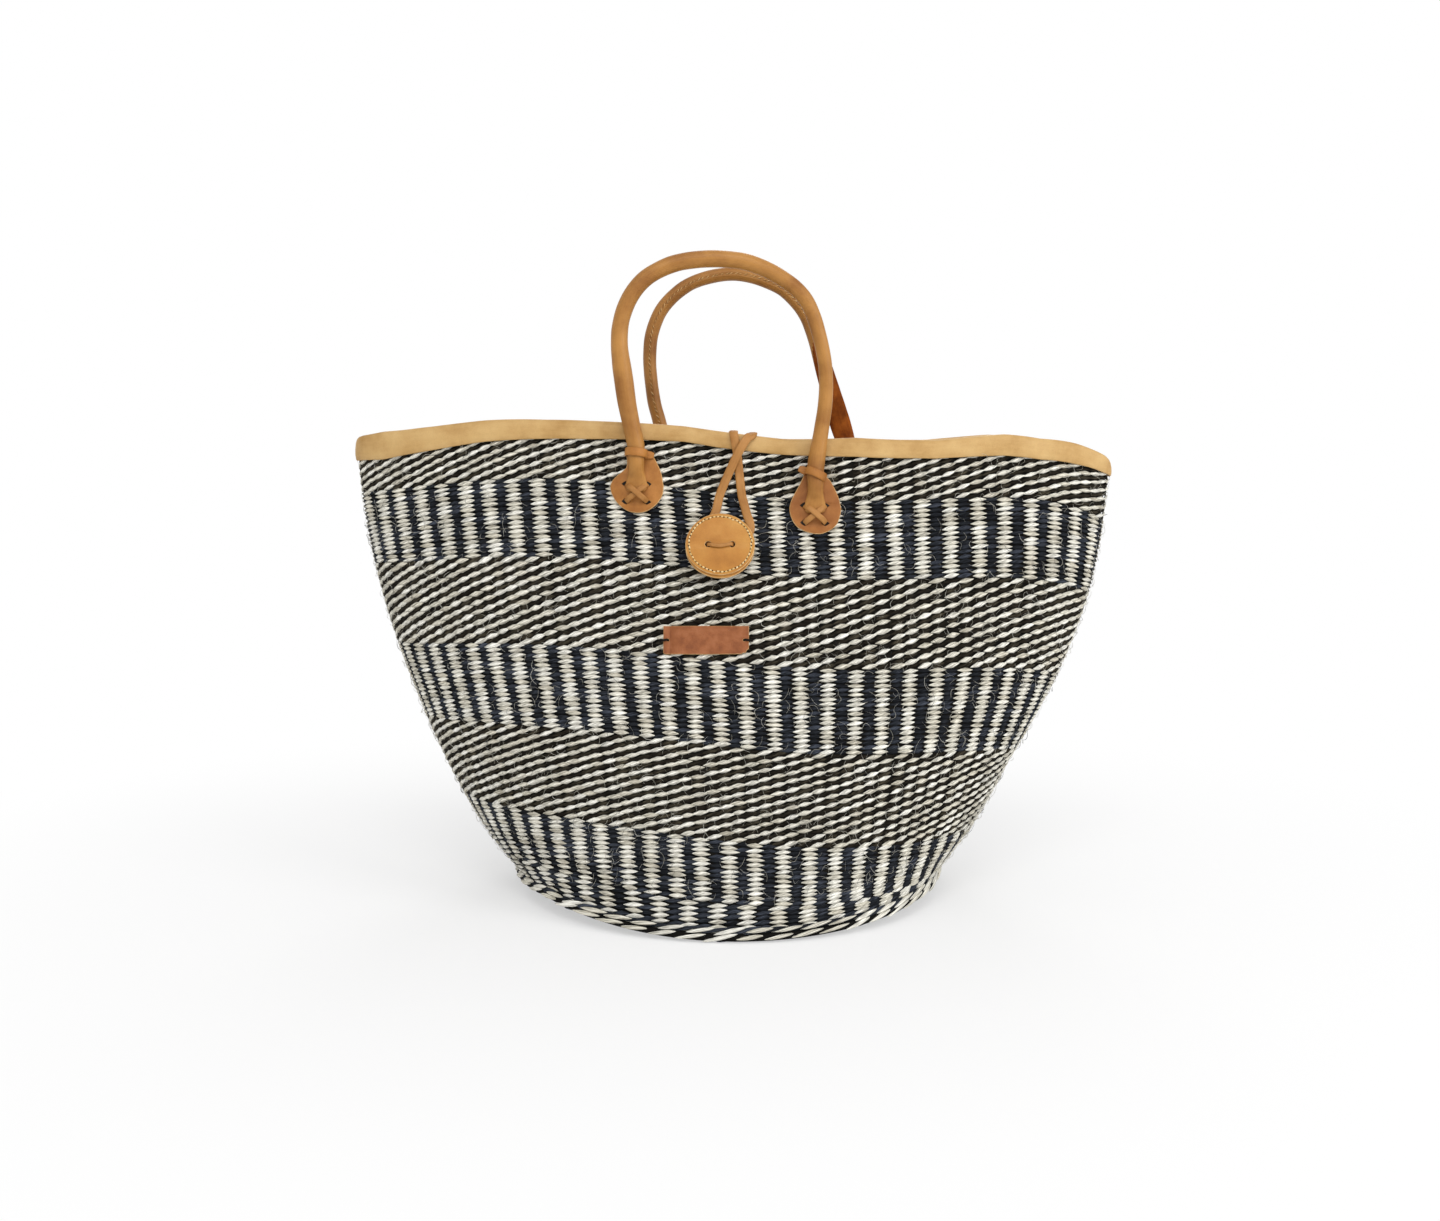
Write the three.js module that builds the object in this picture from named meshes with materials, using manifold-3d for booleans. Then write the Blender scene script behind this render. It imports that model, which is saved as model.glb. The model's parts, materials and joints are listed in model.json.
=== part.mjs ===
// Straw tote: a flat-bottomed basket twined from two-colour sisal, with a leather rim binding,
// two rolled leather handles laced on over teardrop patches, a leather button and a lace loop.
// Millimetres, +Z up. The front faces -Y, and the origin is the middle of the flat base.

import * as THREE from 'three';
import { mergeVertices } from 'three/addons/utils/BufferGeometryUtils.js';
import Module from 'manifold-3d';

const wasm = await Module();
wasm.setup();

// Fits
const clearance = 0.3; // air between pieces that touch

// Basket
const rimHeight = 309; // mean height of the woven edge
const rimHalfWidth = 257.5; // outer face of the wall at the rim, along X
const rimHalfDepth = 50; // the same along Y, where the mouth is drawn together
const baseRadius = 144; // outer face of the wall at the round base
const wallThickness = 4;
const baseThickness = 4;
const sideStraightShare = 0.11; // how much of the flare at the ends is straight rather than curved
const faceStraightShare = 0.36; // the same for the front and rear faces
const rimWave = [3.6, -7.5, -6, 1.2, -4.2, -2.9]; // sway of the soft rim, one height per harmonic
const ridgeThickness = 5.2; // the twined cord that turns the base into the wall

// Rim binding
const bindingThickness = 1.6;
const bindingDepth = 10.6; // how far each leg comes down over the woven edge
const bindingRound = 0.7; // rounding of the fold, as a share of the strip's thickness

// Handles
const handleRadius = 5.75;
const handleLeather = 1.6;
const seamGap = 0.8; // between the two butted edges of the rolled leather
const flexLength = 26; // from the keeper up to where the handle starts to bend
const archPower = 2.3; // 2 is an ellipse, more is squarer
const leanIn = 28; // degrees that a handle leans in over the mouth
const leanSpare = 2; // degrees left between the bevelled end and its stub at that lean
const legBow = 1.6; // how strongly a leg curves towards its shoulder, 1 is straight
const tautLegBow = 1.1; // the same for the rear right leg, which leans over

// Places on the two handles: x, and the height above the mean rim
const frontApex = { x: -14, above: 117 };
const frontLeftShoulder = { x: -73.9, above: 62 };
const frontLeftFoot = { x: -63.4, above: -9 };
const frontRightShoulder = { x: 60, above: 45 };
const frontRightFoot = { x: 53, above: -23 };
const rearApex = { x: 2, above: 121 };
const rearLeftShoulder = { x: -60, above: 61 };
const rearLeftFoot = { x: -48, above: -12 };
const rearRightShoulder = { x: 60, above: 86 };
const rearRightFoot = { x: 84, above: -14 };

// Handle patches
const patchRadius = 17.5;
const patchThickness = 2;
const patchShoulder = 35; // degrees up the round part where the straight edges leave it
const keeperRise = 22; // from the middle of the round part to the middle of the keeper
const keeperWidth = 6;
const keeperThickness = 1.8;
const tailReach = 4.6; // how far the flattened handle end passes below the middle of the patch
const tailThickness = 3.2;
const tailTip = 0.6; // width of its last edge, as a share of its full width
const neckRise = 0.45; // where the flat end starts to close round the rope, as a share of keeperRise
const neckWidth = 0.85; // its width there, as a share of the round handle's
const neckHeight = 0.7; // its height there, as a share of the round handle's
const neckTop = 0.65; // where it is fully round, as a share of keeperRise

// Laces
const laceWidth = 4.2;
const laceThickness = 1.6;
const laceHalfSpan = 6.8; // holes to either side of the patch's middle line
const laceHalfRise = 5.6; // holes above and below the middle of the cross
const laceDrop = 3.4; // the cross sits this far below the middle of the patch
const laceFlat = 0.62; // middle share of a strand that lies flat over the handle end

// Button
const buttonSpot = { x: -9, above: -69 };
const buttonRadius = 22.5;
const buttonLayer = 2.2; // each of its two layers
const buttonStandOff = 8.4; // wall to the middle of the button
const buttonLean = 8; // degrees, lower edge held out by the loop
const buttonLaceWidth = 3;
const buttonLaceHalfSpan = 8.6;
const buttonLaceSlack = 0.9; // room round the lace that lets the button rock

// Closure lace
const strandWidth = 6;
const strandThickness = 2;
const strandSpots = [0, 12.6]; // x of the two strands where they cross the rim
const strandSag = 4; // over the open mouth
const crossing = { x: 4.1, above: -15 };
const anchorDepth = 16; // rim to the holes where the lace enters the rear wall
const loopSlack = 0.8; // between the loop and the lace that holds the button
const strandPinch = 0.8; // how far each strand draws in on its way down the binding
const loopNeck = 0.8; // heights on the loop, as shares of the way from the button to the crossing
const loopShoulder = 0.45;
const loopFlank = 0.12;
const loopNeckOut = { left: -7.2, right: 2.4 }; // from the crossing to the strand at the neck
const loopShoulderOut = { left: -0.5, right: 1.12 }; // shares of the loop's half width
const loopCorner = { out: 0.86, down: 0.75 }; // lower corners, as shares of half width and drop
const loopFoot = 1.3; // lowest point, as a share of the drop below the button's middle

// Label
const labelSpot = { x: -18, above: -129 };
const labelWidth = 56;
const labelHeight = 19;
const labelThickness = 1.6;
const tieThickness = 1.4;
const tieInset = 3; // from the end of the label to the hole for its tie

// Facets
const wallStations = 56;
const wallRows = 11;
const handleSteps = 36;
const handleSides = 8;
const drillSides = 8;
const buttonSides = 32;
const loopSteps = 60;
const spanSteps = 16;

// Sizes that follow from the ones above
const wallFoot = baseThickness + clearance;
const bindingOut = clearance + bindingThickness;
const laceHoleRadius = Math.hypot(laceWidth, laceThickness) / 2 + clearance;
const buttonHoleRadius = Math.hypot(buttonLaceWidth, laceThickness) / 2 + buttonLaceSlack;
const handlePlane = rimHalfDepth + bindingOut + clearance + handleRadius;
const hingePlane = handlePlane + handleRadius;
const bedOver = bindingOut + clearance;
const drillDepth = wallThickness * 6;

function fromRim(spot) {
  return { x: spot.x, z: rimHeight + spot.above };
}

const buttonPlace = fromRim(buttonSpot);
const crossingPlace = fromRim(crossing);
const labelPlace = fromRim(labelSpot);

const handles = {
  front: {
    side: -1,
    apex: fromRim(frontApex),
    left: { foot: fromRim(frontLeftFoot), shoulder: fromRim(frontLeftShoulder), bow: legBow },
    right: { foot: fromRim(frontRightFoot), shoulder: fromRim(frontRightShoulder), bow: legBow },
  },
  rear: {
    side: 1,
    apex: fromRim(rearApex),
    left: { foot: fromRim(rearLeftFoot), shoulder: fromRim(rearLeftShoulder), bow: legBow },
    right: { foot: fromRim(rearRightFoot), shoulder: fromRim(rearRightShoulder), bow: tautLegBow },
  },
};

const tote = new THREE.Group();

const finishes = {
  sisal: { color: 0x8a8678, roughness: 0.95, metalness: 0 },
  rimLeather: { color: 0xd2ae79, roughness: 0.6, metalness: 0 },
  handleLeather: { color: 0xbd8950, roughness: 0.5, metalness: 0 },
  patchLeather: { color: 0xb0773e, roughness: 0.6, metalness: 0 },
  laceLeather: { color: 0xc08f5c, roughness: 0.65, metalness: 0 },
  buttonLeather: { color: 0xc9914a, roughness: 0.55, metalness: 0 },
  labelLeather: { color: 0x9e613d, roughness: 0.6, metalness: 0 },
  rope: { color: 0xc8b48c, roughness: 0.95, metalness: 0 },
  thread: { color: 0x2a2724, roughness: 0.9, metalness: 0 },
};

function addPart(name, geometry, finish, parent = tote) {
  const mesh = new THREE.Mesh(geometry, new THREE.MeshStandardMaterial(finishes[finish]));
  mesh.name = name;
  parent.add(mesh);
  return mesh;
}

// Solids

function toSolid(geometry) {
  const bare = geometry.clone();
  bare.deleteAttribute('normal');
  bare.deleteAttribute('uv');
  const merged = mergeVertices(bare, 1e-4);
  const mesh = new wasm.Mesh({
    numProp: 3,
    vertProperties: Float32Array.from(merged.attributes.position.array),
    triVerts: Uint32Array.from(merged.index.array),
  });
  return new wasm.Manifold(mesh);
}

function toGeometry(solid) {
  const mesh = solid.getMesh();
  const geometry = new THREE.BufferGeometry();
  geometry.setAttribute('position', new THREE.BufferAttribute(mesh.vertProperties, 3));
  geometry.setIndex(new THREE.BufferAttribute(mesh.triVerts, 1));
  return geometry;
}

function joined(geometries) {
  return toGeometry(geometries.map(toSolid).reduce((whole, piece) => whole.add(piece)));
}

function cutBy(geometry, cutters) {
  return toGeometry(cutters.map(toSolid).reduce((rest, cutter) => rest.subtract(cutter), toSolid(geometry)));
}

function signedVolume(geometry) {
  const at = geometry.attributes.position;
  const corners = [new THREE.Vector3(), new THREE.Vector3(), new THREE.Vector3()];
  let volume = 0;
  for (let i = 0; i < geometry.index.count; i += 3) {
    corners.forEach((corner, k) => corner.fromBufferAttribute(at, geometry.index.getX(i + k)));
    volume += corners[0].dot(corners[1].clone().cross(corners[2])) / 6;
  }
  return volume;
}

// A skin over a row of rings that have the same number of points. A row that closes on itself has
// no ends, and any other row is capped with a fan at each end.
function skin(rings, closed = false) {
  const sides = rings[0].length;
  const positions = rings.flat().flatMap((point) => point.toArray());
  const triangles = [];
  const spans = closed ? rings.length : rings.length - 1;
  for (let i = 0; i < spans; i += 1) {
    const here = i * sides;
    const next = ((i + 1) % rings.length) * sides;
    for (let k = 0; k < sides; k += 1) {
      const after = (k + 1) % sides;
      triangles.push(here + k, here + after, next + after);
      triangles.push(here + k, next + after, next + k);
    }
  }
  if (!closed) {
    const last = (rings.length - 1) * sides;
    for (let k = 1; k < sides - 1; k += 1) {
      triangles.push(0, k + 1, k);
      triangles.push(last, last + k, last + k + 1);
    }
  }
  const geometry = new THREE.BufferGeometry();
  geometry.setAttribute('position', new THREE.Float32BufferAttribute(positions, 3));
  geometry.setIndex(triangles);
  if (signedVolume(geometry) < 0) {
    geometry.setIndex(triangles.reverse());
  }
  return geometry;
}

// The woven wall is an ellipse at every height: a circle at the base and nearly shut at the rim.

function flare(rise, straightShare) {
  const drop = 1 - rise;
  return straightShare * drop + (1 - straightShare) * drop * drop;
}

function halfWidthAt(rise) {
  return rimHalfWidth - (rimHalfWidth - baseRadius) * flare(rise, sideStraightShare);
}

function halfDepthAt(rise) {
  return rimHalfDepth + (baseRadius - rimHalfDepth) * flare(rise, faceStraightShare);
}

function rimHeightAt(angle) {
  return rimWave.reduce((height, sway, k) => height + sway * Math.cos(k * angle), rimHeight);
}

// rise runs from 0 at the foot to 1 at the rim, and out is measured level, square to the ellipse.
function wallPoint(angle, rise, out) {
  const width = halfWidthAt(rise);
  const depth = halfDepthAt(rise);
  const outward = new THREE.Vector3(Math.cos(angle) / width, Math.sin(angle) / depth, 0).normalize();
  const height = wallFoot + rise * (rimHeightAt(angle) - wallFoot);
  const point = new THREE.Vector3(width * Math.cos(angle), depth * Math.sin(angle), height);
  return point.addScaledVector(outward, out);
}

// The spot on the wall at a given x and height. side is -1 for the front and 1 for the rear.
function wallSpot(x, z, side) {
  let rise = Math.min(1, (z - wallFoot) / (rimHeight - wallFoot));
  let angle = 0;
  for (let pass = 0; pass < 12; pass += 1) {
    angle = side * Math.acos(THREE.MathUtils.clamp(x / halfWidthAt(rise), -1, 1));
    rise = Math.min(1, (z - wallFoot) / (rimHeightAt(angle) - wallFoot));
  }
  return { angle, rise };
}

function rimHeightOver(x) {
  return rimHeightAt(Math.acos(x / rimHalfWidth));
}

// A frame on the wall's outer face: X level along the wall, Y up the wall, Z straight out of it.
function wallFrame(spot, side) {
  const { angle, rise } = wallSpot(spot.x, spot.z, side);
  const step = 0.001;
  const along = wallPoint(angle + step, rise, 0).sub(wallPoint(angle - step, rise, 0));
  const upward = wallPoint(angle, rise + step, 0).sub(wallPoint(angle, rise - step, 0));
  const outward = along.cross(upward).normalize();
  const level = new THREE.Vector3(0, 0, 1).cross(outward).normalize();
  const upWall = outward.clone().cross(level);
  const frame = new THREE.Matrix4().makeBasis(level, upWall, outward);
  return frame.setPosition(wallPoint(angle, rise, 0));
}

// How far the curved wall stands out of the frame's flat plane under a piece of this extent.
function wallBulge(frame, side, halfSpan, below, above) {
  const toLocal = frame.clone().invert();
  let highest = 0;
  for (const across of [-halfSpan, 0, halfSpan]) {
    for (const up of [-below, -below / 2, 0, above / 2, above]) {
      const near = new THREE.Vector3(across, up, 0).applyMatrix4(frame);
      const { angle, rise } = wallSpot(near.x, near.z, side);
      highest = Math.max(highest, wallPoint(angle, rise, 0).applyMatrix4(toLocal).z);
    }
  }
  return highest;
}

function placed(geometry, frame) {
  return geometry.clone().applyMatrix4(frame);
}

const wallCutters = [];

function roundHole(x, y, radius) {
  const corners = [];
  for (let k = 0; k < drillSides; k += 1) {
    const turn = (2 * Math.PI * (k + 0.5)) / drillSides;
    corners.push(new THREE.Vector2(x + radius * Math.cos(turn), y - radius * Math.sin(turn)));
  }
  const hole = new THREE.Path(corners);
  hole.closePath();
  return hole;
}

function drillWall(frame, x, y, radius) {
  const drill = new THREE.CylinderGeometry(radius, radius, drillDepth, drillSides);
  drill.rotateX(Math.PI / 2);
  drill.translate(x, y, 0);
  wallCutters.push(placed(drill, frame));
}

// Wall, base and foot ridge

function wallSolid() {
  const rings = [];
  for (let i = 0; i < wallStations; i += 1) {
    const angle = (2 * Math.PI * i) / wallStations;
    const outside = [];
    const inside = [];
    for (let row = 0; row <= wallRows; row += 1) {
      outside.push(wallPoint(angle, row / wallRows, 0));
      inside.unshift(wallPoint(angle, row / wallRows, -wallThickness));
    }
    rings.push([...outside, ...inside]);
  }
  return skin(rings, true);
}

function baseSolid() {
  const edge = baseThickness / 4;
  const profile = [
    new THREE.Vector2(0, 0),
    new THREE.Vector2(baseRadius - edge, 0),
    new THREE.Vector2(baseRadius, edge),
    new THREE.Vector2(baseRadius, baseThickness),
    new THREE.Vector2(0, baseThickness),
  ];
  return new THREE.LatheGeometry(profile, wallStations).rotateX(Math.PI / 2);
}

function ridgeSolid() {
  const sides = 8;
  const middle = baseRadius + clearance + ridgeThickness / 2;
  const cornerRadius = ridgeThickness / 2 / Math.cos(Math.PI / sides);
  const profile = [];
  for (let k = 0; k <= sides; k += 1) {
    const turn = (2 * Math.PI * (k + 0.5)) / sides;
    const height = ridgeThickness / 2 + cornerRadius * Math.sin(turn);
    profile.push(new THREE.Vector2(middle + cornerRadius * Math.cos(turn), height));
  }
  return new THREE.LatheGeometry(profile, wallStations).rotateX(Math.PI / 2);
}

// Rim binding: a strip of leather folded over the woven edge, a U section carried round the mouth.

function bindingSection() {
  const inner = -wallThickness;
  const round = bindingThickness * bindingRound;
  return [
    [bindingOut, -bindingDepth],
    [bindingOut, clearance],
    [bindingOut - round / 3, bindingOut - round / 3],
    [0, bindingOut],
    [inner, bindingOut],
    [inner - bindingOut + round / 3, bindingOut - round / 3],
    [inner - bindingOut, clearance],
    [inner - bindingOut, -bindingDepth],
    [inner - clearance, -bindingDepth],
    [inner - clearance, clearance],
    [clearance, clearance],
    [clearance, -bindingDepth],
  ];
}

function bindingSolid() {
  const rings = [];
  for (let i = 0; i < wallStations; i += 1) {
    const angle = (2 * Math.PI * i) / wallStations;
    const wallHeight = rimHeightAt(angle) - wallFoot;
    rings.push(bindingSection().map(([out, height]) => {
      const point = wallPoint(angle, Math.min(1, 1 + height / wallHeight), out);
      point.z = rimHeightAt(angle) + height;
      return point;
    }));
  }
  return skin(rings, true);
}

// Handles: leather rolled round a rope, an arch of two quarters on two bowed legs.

class HandleCurve extends THREE.Curve {
  constructor(spec) {
    super();
    this.spec = spec;
  }

  getPoint(t) {
    const { apex, left, right, side } = this.spec;
    const leg = t < 0.5 ? left : right;
    const along = t < 0.5 ? t * 2 : (1 - t) * 2;
    const height = leg.shoulder.z - leg.foot.z;
    let x;
    let z;
    if (along < 0.5) {
      const drop = 1 - along * 2;
      x = leg.shoulder.x + (leg.foot.x - leg.shoulder.x) * drop ** leg.bow;
      z = leg.shoulder.z - height * drop;
    } else {
      const turn = (along - 0.5) * Math.PI;
      x = apex.x + (leg.shoulder.x - apex.x) * Math.max(0, Math.cos(turn)) ** (2 / archPower);
      z = leg.shoulder.z + (apex.z - leg.shoulder.z) * Math.sin(turn) ** (2 / archPower);
    }
    return new THREE.Vector3(x, side * handlePlane, z);
  }
}

function legX(leg, z) {
  const drop = (leg.shoulder.z - z) / (leg.shoulder.z - leg.foot.z);
  return leg.shoulder.x + (leg.foot.x - leg.shoulder.x) * drop ** leg.bow;
}

function hingePoint(leg, side) {
  const z = leg.foot.z + flexLength;
  return new THREE.Vector3(legX(leg, z), side * hingePlane, z);
}

// The rolled leather is a ring that stops at the seam, which faces the middle of the bag.
function coverSection(side) {
  const inner = handleRadius - handleLeather;
  const half = Math.asin(seamGap / 2 / inner);
  const seam = side < 0 ? Math.PI : 0;
  const section = new THREE.Shape();
  section.absarc(0, 0, handleRadius, seam + half, seam - half + 2 * Math.PI, false);
  section.absarc(0, 0, inner, seam - half + 2 * Math.PI, seam + half, true);
  section.closePath();
  return section;
}

function along(curve, section) {
  return new THREE.ExtrudeGeometry(section, {
    steps: handleSteps, curveSegments: handleSides / 2, extrudePath: curve,
  });
}

// Everything below a plane that holds the hinge line and climbs towards the middle of the bag.
function bevelBlock(spec) {
  const leftPoint = hingePoint(spec.left, spec.side);
  const rightPoint = hingePoint(spec.right, spec.side);
  const reach = rightPoint.x - leftPoint.x;
  const depth = flexLength + handleRadius * 4;
  const block = new THREE.BoxGeometry(reach * 2, depth * 2, depth * 2);
  block.translate(0, 0, -depth);
  block.rotateX(-spec.side * THREE.MathUtils.degToRad(leanIn + leanSpare));
  block.rotateY(Math.atan2(leftPoint.z - rightPoint.z, reach));
  const middle = leftPoint.clone().lerp(rightPoint, 0.5);
  return block.translate(middle.x, middle.y, middle.z);
}

function buildHandle(name, spec) {
  const curve = new HandleCurve(spec);
  const rope = new THREE.Shape();
  rope.absarc(0, 0, handleRadius - handleLeather - clearance, 0, 2 * Math.PI, false);
  const cover = along(curve, coverSection(spec.side));
  const core = along(curve, rope);
  addPart(`${name}_handle_cover`, cutBy(cover, [bevelBlock(spec)]), 'handleLeather');
  addPart(`${name}_handle_core`, cutBy(core, [bevelBlock(spec)]), 'rope');
}

// Handle seats: the patch with its keeper, the flattened end of the handle, and the crossed lace.

function teardrop(neckHalf, neckEnd) {
  const outline = new THREE.Shape();
  const shoulder = THREE.MathUtils.degToRad(patchShoulder);
  outline.moveTo(neckHalf, neckEnd);
  outline.lineTo(-neckHalf, neckEnd);
  outline.absarc(0, 0, patchRadius, Math.PI - shoulder, 2 * Math.PI + shoulder, false);
  outline.closePath();
  return outline;
}

function laceHoles() {
  const rows = [laceHalfRise - laceDrop, -laceHalfRise - laceDrop];
  return rows.flatMap((y) => [[-laceHalfSpan, y], [laceHalfSpan, y]]);
}

function patchSolid(bed) {
  const neckHalf = handleRadius + clearance + keeperThickness;
  const outline = teardrop(neckHalf, keeperRise + keeperWidth / 2);
  for (const [x, y] of laceHoles()) {
    outline.holes.push(roundHole(x, y, laceHoleRadius));
  }
  const plate = new THREE.ExtrudeGeometry(outline, {
    depth: patchThickness, bevelEnabled: false, curveSegments: drillSides,
  });
  plate.translate(0, 0, bed);
  const root = bed + patchThickness / 2;
  const middle = bed + patchThickness + clearance + handleRadius;
  const inside = handleRadius + clearance;
  const arch = new THREE.Shape();
  arch.moveTo(neckHalf, root);
  arch.lineTo(neckHalf, middle);
  arch.absarc(0, middle, neckHalf, 0, Math.PI, false);
  arch.lineTo(-neckHalf, root);
  arch.lineTo(-inside, root);
  arch.absarc(0, middle, inside, Math.PI, 0, true);
  arch.lineTo(inside, root);
  const keeper = new THREE.ExtrudeGeometry(arch, {
    depth: keeperWidth, bevelEnabled: false, curveSegments: drillSides,
  });
  keeper.rotateX(Math.PI / 2).translate(0, keeperRise + keeperWidth / 2, 0);
  return joined([plate, keeper]);
}

function ringAbout(centre, across, through, halfWidth, halfHeight) {
  const ring = [];
  for (let k = 0; k < handleSides * 2; k += 1) {
    const turn = (Math.PI * k) / handleSides;
    const point = centre.clone().addScaledVector(across, halfWidth * Math.cos(turn));
    ring.push(point.addScaledVector(through, halfHeight * Math.sin(turn)));
  }
  return ring;
}

function handleEndSolid(frame, bed, leg, spec) {
  const level = new THREE.Vector3().setFromMatrixColumn(frame, 0);
  const outward = new THREE.Vector3().setFromMatrixColumn(frame, 2);
  const tailHalf = laceHalfSpan - laceHoleRadius - clearance;
  const stations = [
    { up: -tailReach, wide: tailHalf * tailTip, high: tailThickness / 3 },
    { up: -tailReach * tailTip, wide: tailHalf, high: tailThickness / 2 },
    { up: laceHalfRise, wide: tailHalf, high: tailThickness / 2 },
    { up: keeperRise * neckRise, wide: handleRadius * neckWidth, high: handleRadius * neckHeight },
    { up: keeperRise * neckTop, wide: handleRadius, high: handleRadius },
    { up: keeperRise + keeperWidth / 2, wide: handleRadius, high: handleRadius },
  ];
  const rings = stations.map(({ up, wide, high }) => {
    const centre = new THREE.Vector3(0, up, bed + patchThickness + clearance + high);
    return ringAbout(centre.applyMatrix4(frame), level, outward, wide, high);
  });
  const leftPoint = hingePoint(spec.left, spec.side);
  const hingeLine = hingePoint(spec.right, spec.side).sub(leftPoint).normalize();
  const inward = new THREE.Vector3(0, -spec.side, 0);
  const down = new THREE.Vector3(hingeLine.z, 0, -hingeLine.x);
  const top = hingePoint(leg, spec.side).addScaledVector(inward, handleRadius);
  top.addScaledVector(down, clearance);
  const acrossTop = hingeLine.clone().multiplyScalar(Math.sign(hingeLine.dot(level)));
  rings.push(ringAbout(top, acrossTop, inward.clone().negate(), handleRadius, handleRadius));
  return skin(rings);
}

// One strand of the cross: down one hole, over the handle end, and down the opposite hole.
function laceStrand(halfLength, foot, shoulder, crown) {
  const half = laceThickness / 2;
  const flat = halfLength * laceFlat;
  const outline = new THREE.Shape();
  outline.moveTo(-halfLength - half, foot);
  outline.lineTo(-halfLength - half, shoulder + laceThickness);
  outline.lineTo(-flat, crown + laceThickness);
  outline.lineTo(flat, crown + laceThickness);
  outline.lineTo(halfLength + half, shoulder + laceThickness);
  outline.lineTo(halfLength + half, foot);
  outline.lineTo(halfLength - half, foot);
  outline.lineTo(halfLength - half, shoulder);
  outline.lineTo(flat, crown);
  outline.lineTo(-flat, crown);
  outline.lineTo(-halfLength + half, shoulder);
  outline.lineTo(-halfLength + half, foot);
  const strand = new THREE.ExtrudeGeometry(outline, { depth: laceWidth, bevelEnabled: false });
  return strand.translate(0, 0, -laceWidth / 2).rotateX(Math.PI / 2);
}

function laceSolid(bed) {
  const tilt = Math.atan2(laceHalfRise, laceHalfSpan);
  const halfLength = Math.hypot(laceHalfSpan, laceHalfRise);
  const inside = -wallThickness - bed - clearance;
  const foot = inside - laceThickness;
  const face = bed + patchThickness + clearance;
  const lowCrown = face + tailThickness + clearance;
  const highCrown = lowCrown + laceThickness + clearance;
  const under = laceStrand(halfLength, foot, face, lowCrown).rotateZ(tilt);
  const over = laceStrand(halfLength, foot, face, highCrown).rotateZ(-tilt);
  const pieces = [under, over];
  for (const x of [-laceHalfSpan, laceHalfSpan]) {
    const bar = new THREE.BoxGeometry(laceWidth, laceHalfRise * 2 + laceWidth, laceThickness);
    pieces.push(bar.translate(x, 0, inside - laceThickness / 2));
  }
  const backBar = new THREE.BoxGeometry(laceHalfSpan * 2, laceWidth, laceThickness);
  pieces.push(backBar.translate(0, 0, inside - laceThickness / 2));
  return joined(pieces).translate(0, -laceDrop, 0);
}

function buildSeat(name, leg, spec) {
  const frame = wallFrame({ x: leg.foot.x, z: leg.foot.z - keeperRise }, spec.side);
  const reach = keeperRise + keeperWidth / 2;
  const bed = clearance + wallBulge(frame, spec.side, patchRadius, patchRadius, reach);
  const seat = new THREE.Group();
  seat.applyMatrix4(frame);
  tote.add(seat);
  addPart(`${name}_patch`, patchSolid(bed), 'patchLeather', seat);
  addPart(`${name}_lace`, laceSolid(bed), 'laceLeather', seat);
  addPart(`${name}_handle_end`, handleEndSolid(frame, bed, leg, spec), 'handleLeather');
  for (const [x, y] of laceHoles()) {
    drillWall(frame, x, y, laceHoleRadius);
  }
}

// Button: two stitched layers on a lace that passes through both and through the wall.

function buttonLayerSolid(low) {
  const outline = new THREE.Shape();
  outline.absarc(0, 0, buttonRadius - buttonLayer / 4, 0, 2 * Math.PI, false);
  for (const x of [-buttonLaceHalfSpan, buttonLaceHalfSpan]) {
    outline.holes.push(roundHole(x, 0, buttonHoleRadius));
  }
  const layer = new THREE.ExtrudeGeometry(outline, {
    depth: buttonLayer / 2,
    bevelEnabled: true,
    bevelThickness: buttonLayer / 4,
    bevelSize: buttonLayer / 4,
    bevelOffset: 0,
    bevelSegments: 1,
    curveSegments: buttonSides / 2,
  });
  return layer.translate(0, 0, low + buttonLayer / 4);
}

function buttonLaceSolid(top) {
  const bar = buttonLaceHalfSpan + laceThickness / 2;
  const bottom = -wallThickness - clearance * 2 - laceThickness;
  const outline = new THREE.Shape();
  outline.moveTo(-bar, bottom);
  outline.lineTo(bar, bottom);
  outline.lineTo(bar, top + laceThickness / 2);
  outline.lineTo(bar - laceThickness, top + laceThickness);
  outline.lineTo(-bar + laceThickness, top + laceThickness);
  outline.lineTo(-bar, top + laceThickness / 2);
  const gap = new THREE.Path();
  gap.moveTo(-bar + laceThickness, bottom + laceThickness);
  gap.lineTo(-bar + laceThickness, top);
  gap.lineTo(bar - laceThickness, top);
  gap.lineTo(bar - laceThickness, bottom + laceThickness);
  outline.holes.push(gap);
  const lace = new THREE.ExtrudeGeometry(outline, { depth: buttonLaceWidth, bevelEnabled: false });
  return lace.translate(0, 0, -buttonLaceWidth / 2).rotateX(Math.PI / 2);
}

function buildButton() {
  const frame = wallFrame(buttonPlace, -1);
  const seat = new THREE.Group();
  seat.applyMatrix4(frame);
  tote.add(seat);
  const button = new THREE.Group();
  button.position.z = buttonStandOff;
  button.rotation.x = -THREE.MathUtils.degToRad(buttonLean);
  seat.add(button);
  addPart('button_back', buttonLayerSolid(-buttonLayer - clearance / 2), 'buttonLeather', button);
  addPart('button_face', buttonLayerSolid(clearance / 2), 'buttonLeather', button);
  const top = buttonStandOff + buttonLayer + buttonLaceSlack;
  addPart('button_lace', buttonLaceSolid(top), 'laceLeather', seat);
  for (const x of [-buttonLaceHalfSpan, buttonLaceHalfSpan]) {
    drillWall(frame, x, 0, Math.hypot(buttonLaceWidth, laceThickness) / 2 + clearance);
  }
}

// Closure: a lace from the rear wall over the mouth, whose loop drops round the button.

function strandBed(x) {
  const heights = [x - strandWidth / 2, x, x + strandWidth / 2].map(rimHeightOver);
  return Math.max(...heights) + bindingOut + clearance;
}

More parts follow.
